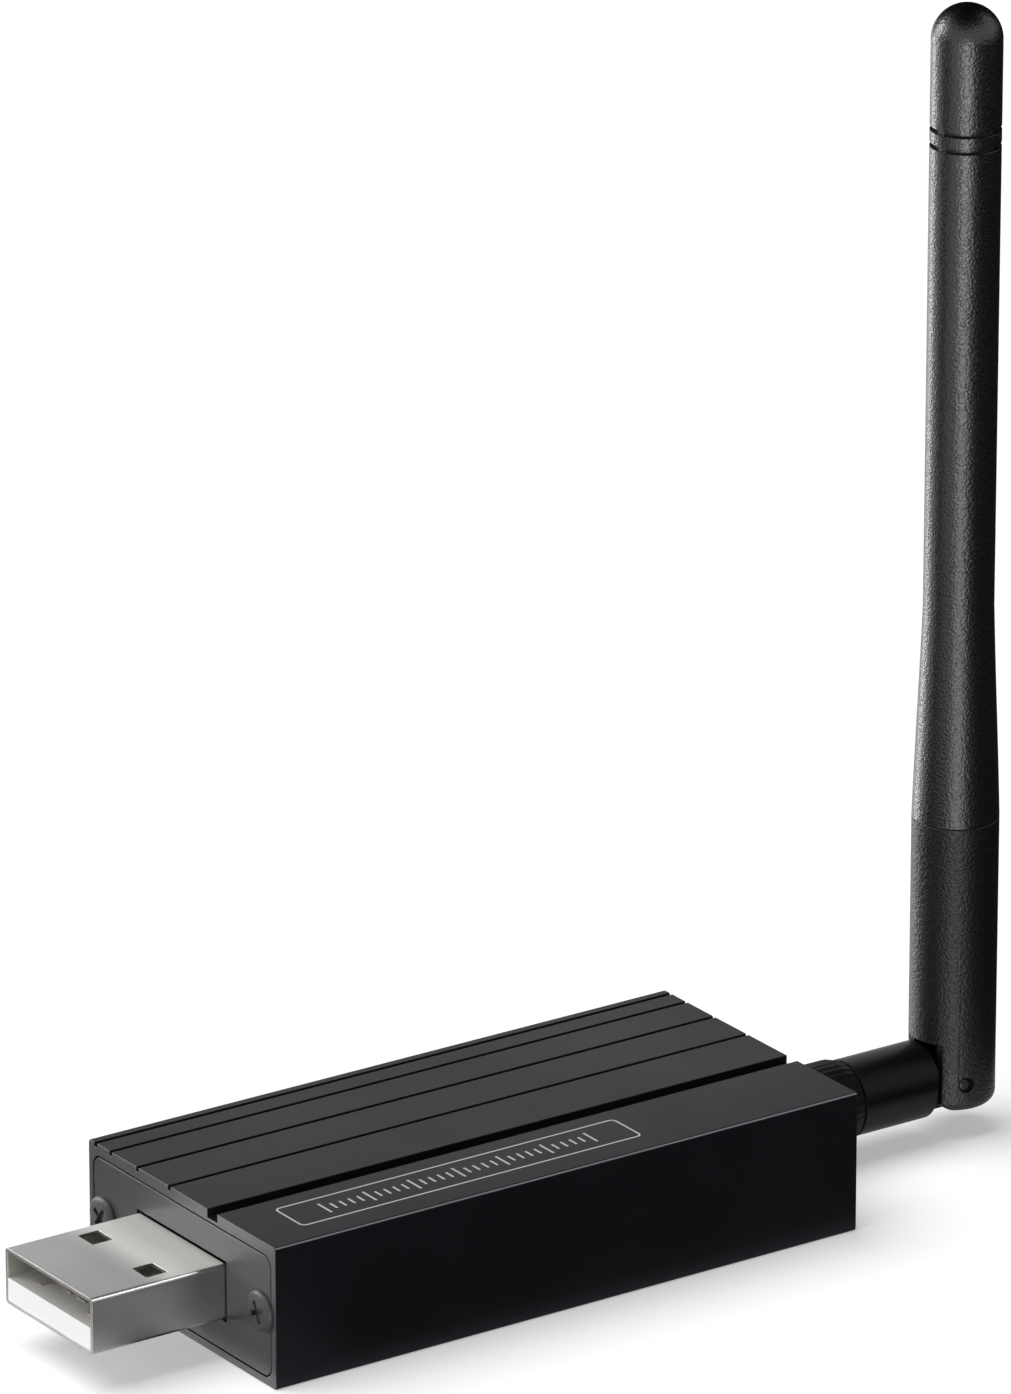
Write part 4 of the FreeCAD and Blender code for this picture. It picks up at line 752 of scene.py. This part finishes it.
def turnedBody(tree, line, outline):
    # the outline swept along the line, as large at each point as its reach in millimetres
    reach = addNode(tree, "GeometryNodeInputNamedAttribute", {"Name": "reach"}, data_type="FLOAT")
    rail = addNode(tree, "GeometryNodeMeshToCurve", {"Mesh": line})
    return addNode(tree, "GeometryNodeCurveToMesh", {
        "Curve": rail.outputs[0], "Profile Curve": outline, "Scale": reach.outputs[0],
        "Fill Caps": True}).outputs[0]


# antenna sleeve: taper, straight rod with two thin rings, and a round tip

sleeve = {
    "bottom": 25.98, "taperEnd": 43.37, "top": 91.37, "wide": 3.41, "narrow": 2.75,
    "rings": (80.4, 81.7), "ringWidth": 0.34, "ringDepth": 0.42, "ringEdge": 0.03,
    "seamEdge": 0.06, "taperEase": 0.06, "domeSteps": 24, "taperSteps": 24, "sides": 96,
    "poleDrop": 0.0005, "poleReach": 0.03,
}


def sleeveStations():
    rows = [(sleeve["bottom"], sleeve["wide"] - sleeve["seamEdge"]),
            (sleeve["bottom"] + sleeve["seamEdge"], sleeve["wide"])]
    low, high = sleeve["bottom"] + sleeve["seamEdge"], sleeve["taperEnd"]
    for step in range(1, sleeve["taperSteps"] + 1):
        share = step / sleeve["taperSteps"]
        # the taper leaves the base straight and runs out softly into the rod
        eased = share - sleeve["taperEase"] * math.sin(2 * math.pi * share) / math.pi
        rows.append((low + (high - low) * share,
                     sleeve["wide"] + (sleeve["narrow"] - sleeve["wide"]) * eased))
    half, edge = sleeve["ringWidth"] / 2, sleeve["ringEdge"]
    floor = sleeve["narrow"] - sleeve["ringDepth"]
    for level in sleeve["rings"]:
        rows += [(level - half - edge, sleeve["narrow"]), (level - half, sleeve["narrow"] - edge),
                 (level - half + edge / 2, floor), (level + half - edge / 2, floor),
                 (level + half, sleeve["narrow"] - edge), (level + half + edge, sleeve["narrow"])]
    centre = sleeve["top"] - sleeve["narrow"]
    for step in range(sleeve["domeSteps"]):
        turn = quarterTurn * step / sleeve["domeSteps"]
        rows.append((centre + sleeve["narrow"] * math.sin(turn), sleeve["narrow"] * math.cos(turn)))
    rows.append((sleeve["top"] - sleeve["poleDrop"], sleeve["poleReach"]))
    return rows


def buildSleeve():
    tree, given = newTree("turnedSleeve", {"Sides": "Int", "Finish": "Material"})
    ring = addNode(tree, "GeometryNodeCurvePrimitiveCircle", {
        "Resolution": given["Sides"], "Radius": mm}, mode="RADIUS")
    body = turnedBody(tree, given["Geometry"], ring.outputs[0])
    closeTree(tree, body, given["Finish"])
    mesh = runTree(tree, stationLine("sleeveLine", sleeveStations()), {
        "Sides": sleeve["sides"], "Finish": finishes["sleeve_black"]})
    axis = (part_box("antenna_sleeve")[0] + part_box("antenna_sleeve")[1]) / 2
    mesh.transform(Matrix.Translation((axis.x, axis.y, 0)))
    piece = addPiece("antennaSleeve", mesh, finishes["sleeve_black"], "antenna")
    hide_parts("antenna_sleeve")


buildSleeve()
print("antenna sleeve made")


# coupling nut with its knurl

coupling = {
    "start": 28.65, "stop": 34.5, "level": 4.7, "radius": 3.32, "endRadius": 3.05, "taper": 0.9,
    "teeth": 36, "depth": 0.07, "entry": 0.2, "bore": 2.46, "throat": 1.75, "flange": 1.1,
    "boreSides": 48, "toothStep": 0.01, "sharpTurn": 25,
}


def buildCoupling():
    tree, given = newTree("knurledNut", {
        "Teeth": "Int", "Depth": "Float", "Bore": "Float", "Throat": "Float", "Length": "Float",
        "Flange": "Float", "Finish": "Material"})
    root = addNode(tree, "ShaderNodeMath", {0: 1.0, 1: given["Depth"]}, operation="SUBTRACT")
    inner = addNode(tree, "ShaderNodeMath", {0: root.outputs[0], 1: mm}, operation="MULTIPLY")
    star = addNode(tree, "GeometryNodeCurveStar", {
        "Points": given["Teeth"], "Inner Radius": inner.outputs[0], "Outer Radius": mm})
    body = turnedBody(tree, given["Geometry"], star.outputs[0])
    half = addNode(tree, "ShaderNodeMath", {0: given["Length"], 1: 2.0}, operation="DIVIDE")
    short = addNode(tree, "ShaderNodeMath", {0: half.outputs[0], 1: given["Flange"]},
                    operation="SUBTRACT")
    cut = addNode(tree, "GeometryNodeMeshBoolean", {"Mesh 1": body}, operation="DIFFERENCE",
                  solver="EXACT")
    for radius, height in ((given["Bore"], short.outputs[0]), (given["Throat"], given["Length"])):
        drill = addNode(tree, "GeometryNodeMeshCylinder", {
            "Vertices": coupling["boreSides"], "Radius": radius, "Depth": given["Length"]})
        middle = addNode(tree, "ShaderNodeCombineXYZ", {"Z": height})
        placed = addNode(tree, "GeometryNodeTransform", {
            "Geometry": drill.outputs[0], "Translation": middle.outputs[0]})
        tree.links.new(placed.outputs[0], cut.inputs["Mesh 2"])
    closeTree(tree, cut.outputs[0], given["Finish"])
    length = coupling["stop"] - coupling["start"]
    radius, taper, entry = coupling["radius"], coupling["taper"], coupling["entry"]
    line = stationLine("couplingLine", [
        (0, radius - entry), (entry, radius), (length - taper, radius),
        (length - taper + coupling["toothStep"], radius - coupling["depth"] / 2),
        (length, coupling["endRadius"])])
    mesh = runTree(tree, line, {
        "Teeth": coupling["teeth"], "Depth": coupling["depth"] / radius, "Bore": coupling["bore"] * mm,
        "Throat": coupling["throat"] * mm, "Length": length * mm, "Flange": coupling["flange"] * mm,
        "Finish": finishes["coupling_black"]}, sharp=coupling["sharpTurn"])
    turn = Matrix.Rotation(quarterTurn, 4, "Y")
    mesh.transform(Matrix.Translation((coupling["start"] * mm, 0, coupling["level"] * mm)) @ turn)
    piece = addPiece("couplingNut", mesh, finishes["coupling_black"])
    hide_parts("coupling_nut")


buildCoupling()
print("coupling nut made")


# screws of the two end plates

screw = {
    "side": 10.75, "level": 5.7, "face": 26.5, "head": 1.65, "rise": 0.4, "shank": 1.0,
    "length": 5.0, "slotWidth": 0.42, "slotSpan": 1.8, "slotDepth": 0.35, "sides": 40,
    "turns": (24.0, -38.0), "tipTaper": 0.4, "underHead": 0.001,
    # rounded head: share of its rise, and how far the outline is inside its radius there
    "headProfile": (
        (0, 0.03), (0.2, 0), (0.5, 0.02), (0.72, 0.1), (0.88, 0.26), (0.97, 0.5), (1, 0.8)),
}


def buildScrews(name, node, facing):
    tree, given = newTree(name, {
        "Sides": "Int", "Slot Width": "Float", "Slot Span": "Float", "Slot Depth": "Float",
        "Rise": "Float", "Facing": "Float", "Finish": "Material"})
    ring = addNode(tree, "GeometryNodeCurvePrimitiveCircle", {
        "Resolution": given["Sides"], "Radius": mm}, mode="RADIUS")
    blank = turnedBody(tree, given["Geometry"], ring.outputs[0])
    middle = addNode(tree, "ShaderNodeCombineXYZ", {"Z": given["Rise"]})
    deep = addNode(tree, "ShaderNodeMath", {0: given["Slot Depth"], 1: 2.0}, operation="MULTIPLY")
    cut = addNode(tree, "GeometryNodeMeshBoolean", {"Mesh 1": blank}, operation="DIFFERENCE",
                  solver="EXACT")
    for wide, long in (("Slot Width", "Slot Span"), ("Slot Span", "Slot Width")):
        size = addNode(tree, "ShaderNodeCombineXYZ", {
            "X": given[wide], "Y": given[long], "Z": deep.outputs[0]})
        bar = addNode(tree, "GeometryNodeMeshCube", {"Size": size.outputs[0]})
        moved = addNode(tree, "GeometryNodeTransform", {
            "Geometry": bar.outputs[0], "Translation": middle.outputs[0]})
        tree.links.new(moved.outputs[0], cut.inputs["Mesh 2"])
    places = addNode(tree, "GeometryNodeMeshLine", {
        "Count": len(screw["turns"]), "Start Location": (0, -screw["side"] * mm, screw["level"] * mm),
        "Offset": (0, 2 * screw["side"] * mm, 0)})
    number = addNode(tree, "GeometryNodeInputIndex")
    clock = addNode(tree, "ShaderNodeMapRange", {
        "Value": number.outputs[0], "To Min": math.radians(screw["turns"][0]),
        "To Max": math.radians(screw["turns"][1])})
    # turned to face out of the plate first, then about its own axis
    tilt = addNode(tree, "ShaderNodeCombineXYZ", {"Y": given["Facing"]})
    spin = addNode(tree, "ShaderNodeCombineXYZ", {"Z": clock.outputs[0]})
    placed = addNode(tree, "GeometryNodeInstanceOnPoints", {
        "Points": places.outputs[0], "Instance": cut.outputs[0], "Rotation": tilt.outputs[0]})
    spun = addNode(tree, "GeometryNodeRotateInstances", {
        "Instances": placed.outputs[0], "Rotation": spin.outputs[0], "Local Space": True})
    closeTree(tree, spun.outputs[0], given["Finish"])
    rise, head, shank, length = screw["rise"], screw["head"], screw["shank"], screw["length"]
    line = stationLine(name + "Line", [
        (-length, shank - screw["tipTaper"]), (-length + screw["tipTaper"], shank),
        (-screw["underHead"], shank),
        *((rise * share, head - inset) for share, inset in screw["headProfile"])])
    mesh = runTree(tree, line, {
        "Sides": screw["sides"], "Slot Width": screw["slotWidth"] * mm,
        "Slot Span": screw["slotSpan"] * mm, "Slot Depth": screw["slotDepth"] * mm, "Rise": rise * mm,
        "Facing": quarterTurn * facing, "Finish": finishes["screw_black"]})
    mesh.transform(Matrix.Translation((facing * screw["face"] * mm, 0, 0)))
    piece = addPiece(name, mesh, finishes["screw_black"])
    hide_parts(node)


buildScrews("frontScrews", "front_screws", -1)
buildScrews("rearScrews", "rear_screws", 1)
print("screws made")


# printed frame on the flat strip, with a plain scale of ticks in it

label = {
    "middle": (-7.15, -8.43), "long": 30.6, "wide": 3.75, "corner": 0.42, "line": 0.16, "top": 11.4,
    "thick": 0.012, "scaleStart": 3.2, "scaleEnd": 27.2, "ticks": 31, "tickWidth": 0.18,
    "tickShort": 1.0, "tickLong": 1.9, "longEvery": 5, "cornerSteps": 6,
}


def buildLabel():
    tree, given = newTree("printedScale", {
        "Length": "Float", "Width": "Float", "Corner": "Float", "Line": "Float", "Thick": "Float",
        "Ticks": "Int", "Every": "Int", "Start": "Float", "Pitch": "Float", "Short": "Float",
        "Long": "Float", "Tick Width": "Float", "Finish": "Material"})
    box = addNode(tree, "GeometryNodeCurvePrimitiveQuadrilateral", {
        "Width": given["Length"], "Height": given["Width"]}, mode="RECTANGLE")
    rounded = addNode(tree, "GeometryNodeFilletCurve", {
        "Curve": box.outputs[0], "Count": label["cornerSteps"], "Radius": given["Corner"]}, mode="POLY")
    bead = addNode(tree, "GeometryNodeCurvePrimitiveQuadrilateral", {
        "Width": given["Line"], "Height": given["Thick"]}, mode="RECTANGLE")
    border = addNode(tree, "GeometryNodeCurveToMesh", {
        "Curve": rounded.outputs[0], "Profile Curve": bead.outputs[0]})
    step = addNode(tree, "ShaderNodeCombineXYZ", {"X": given["Pitch"]})
    first = addNode(tree, "ShaderNodeCombineXYZ", {"X": given["Start"]})
    row = addNode(tree, "GeometryNodeMeshLine", {
        "Count": given["Ticks"], "Start Location": first.outputs[0], "Offset": step.outputs[0]})
    number = addNode(tree, "GeometryNodeInputIndex")
    rest = addNode(tree, "ShaderNodeMath", {0: number.outputs[0], 1: given["Every"]}, operation="MODULO")
    plain = addNode(tree, "ShaderNodeMath", {0: rest.outputs[0], 1: 0.5}, operation="GREATER_THAN")
    tall = addNode(tree, "ShaderNodeMapRange", {
        "Value": plain.outputs[0], "To Min": given["Long"], "To Max": given["Short"]})
    size = addNode(tree, "ShaderNodeCombineXYZ", {
        "X": given["Tick Width"], "Y": tall.outputs[0], "Z": given["Thick"]})
    mark = addNode(tree, "GeometryNodeMeshCube", {"Size": (1, 1, 1)})
    marks = addNode(tree, "GeometryNodeInstanceOnPoints", {
        "Points": row.outputs[0], "Instance": mark.outputs[0], "Scale": size.outputs[0]})
    both = addNode(tree, "GeometryNodeJoinGeometry")
    tree.links.new(border.outputs[0], both.inputs[0])
    tree.links.new(marks.outputs[0], both.inputs[0])
    closeTree(tree, both.outputs[0], given["Finish"])
    pitch = (label["scaleEnd"] - label["scaleStart"]) / (label["ticks"] - 1)
    mesh = runTree(tree, bpy.data.meshes.new("labelBase"), {
        "Length": label["long"] * mm, "Width": label["wide"] * mm, "Corner": label["corner"] * mm,
        "Line": label["line"] * mm, "Thick": label["thick"] * mm, "Ticks": label["ticks"],
        "Every": label["longEvery"], "Start": (label["scaleStart"] - label["long"] / 2) * mm,
        "Pitch": pitch * mm, "Short": label["tickShort"] * mm, "Long": label["tickLong"] * mm,
        "Tick Width": label["tickWidth"] * mm, "Finish": paleInk})
    x, y = label["middle"]
    mesh.transform(Matrix.Translation((x * mm, y * mm, label["top"] * mm)))
    addPiece("printedScale", mesh, paleInk)


buildLabel()
print("printed scale made")


# lamps that treat one piece on its own

def linkLamp(lamp, piece, state):
    # INCLUDE lights this piece alone, and EXCLUDE lights everything but it
    group = bpy.data.collections.new(lamp + "Receiver")
    group.objects.link(bpy.data.objects[piece])
    group.collection_objects[0].light_linking.link_state = state
    bpy.data.objects[lamp].light_linking.receiver_collection = group


# the strip is for the folded edges of the plug
linkLamp("plugStrip", "usbShell", "INCLUDE")
# the key lamp would make the round tip grey, so it leaves the sleeve to the side boxes
linkLamp("keyLight", "antennaSleeve", "EXCLUDE")
print("lamps linked")
